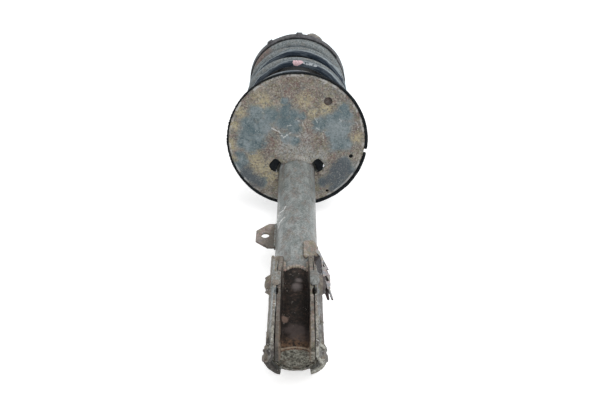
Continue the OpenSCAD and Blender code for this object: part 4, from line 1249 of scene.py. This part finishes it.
CAD_FINISHES = {
    "strut_tube": TUBE_PAINT,
    "inner_tube": BARE_STEEL,
    "base_valve": SINTERED,
    "rod_guide": SINTERED,
    "oil_seal": BOOT_RUBBER,
    "tube_cap": TUBE_PAINT,
    "piston_rod": ROD_CHROME,
    "piston": SINTERED,
    "piston_band": SLIDE_BAND,
    "piston_nut": ZINC,
    "rebound_stop": BARE_STEEL,
    "bearing_inner_race": BEARING_STEEL,
    "bearing_outer_race": BEARING_STEEL,
    "bearing_balls": ROD_CHROME,
    "ball_cage": CAGE_PLASTIC,
    "rod_washer": ZINC,
    "rod_nut": ZINC,
    "mount_hub": PLATE_STEEL,
}
for node, finish in CAD_FINISHES.items():
    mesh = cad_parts[node].data
    mesh.materials.clear()
    mesh.materials.append(finish)


# ---- Camera, floor and light, in metres ----

CAMERA_PLACE = (0.0041, -1.0395, 0.4444)
CAMERA_LOOK = (0, 0.818, -0.575)
LAMP_PLACE = (0.5, -0.9, 1.5)
LAMP_LOOK = (-0.5, 0.6, -1.5)
FLOOR_PLACE = (0, -0.650, -0.0275)
FLOOR_FALL = 0.057
FLOOR_RUN = 0.588
FLOOR_GLOW = 0.62
WALL_Y = 0.757
SKY_LIGHT = 0.62
SKY_SEEN = 1.0


def aimed(name, data, place, look):
    """Puts a camera or a lamp at a place, turned the way it looks."""
    holder = bpy.data.objects.new(name, data)
    bpy.context.scene.collection.objects.link(holder)
    holder.location = place
    holder.rotation_euler = Vector(look).to_track_quat("-Z", "Y").to_euler()
    return holder


def camera():
    """A normal lens, over the strut's lower end, that looks down along it."""
    data = bpy.data.cameras.new("camera")
    data.lens = 39
    data.sensor_width = 36
    bpy.context.scene.camera = aimed("camera", data, CAMERA_PLACE, CAMERA_LOOK)


def floor_finish():
    """White floor with a cooler, paler wall tone behind the strut. It keeps the strut's shadow."""
    made = Finish("floor")
    behind = made.step(made.axis("Y"), WALL_Y / MM, WALL_Y / MM + 1)
    colour = made.mix(behind, plain_grey(0.88), (0.80, 0.86, 0.885))
    glow = made.both(made.seen(), FLOOR_GLOW)
    return made.done(colour, 0.9, Emission_Strength=glow, Emission_Color=colour)


def floor():
    """A pale floor that the strut rests on, tipped because the strut lies nose down."""
    deselect()
    bpy.ops.mesh.primitive_plane_add(size=30)
    ground = bpy.context.object
    ground.name = "floor"
    ground.location = FLOOR_PLACE
    ground.rotation_euler = (-math.atan2(FLOOR_FALL, FLOOR_RUN), 0, 0)
    ground.data.materials.append(floor_finish())


def studio():
    """Even white light from all round, and one wide soft lamp above."""
    world = bpy.data.worlds.new("studio")
    bpy.context.scene.world = world
    world.use_nodes = True
    sky = Nodes(world.node_tree)
    background = sky.tree.nodes["Background"]
    strength = sky.add("MapRange", {"Value": sky.seen(), "To Min": SKY_LIGHT, "To Max": SKY_SEEN})
    sky.feed(background.inputs["Color"], (1, 1, 1))
    sky.feed(background.inputs["Strength"], strength.outputs["Result"])

    lamp = bpy.data.lights.new("key", "AREA")
    lamp.shape = "RECTANGLE"
    lamp.size = 1.6
    lamp.size_y = 1.2
    lamp.energy = 16
    aimed("key", lamp, LAMP_PLACE, LAMP_LOOK)


camera()
floor()
studio()
bpy.context.scene.view_settings.view_transform = "Standard"
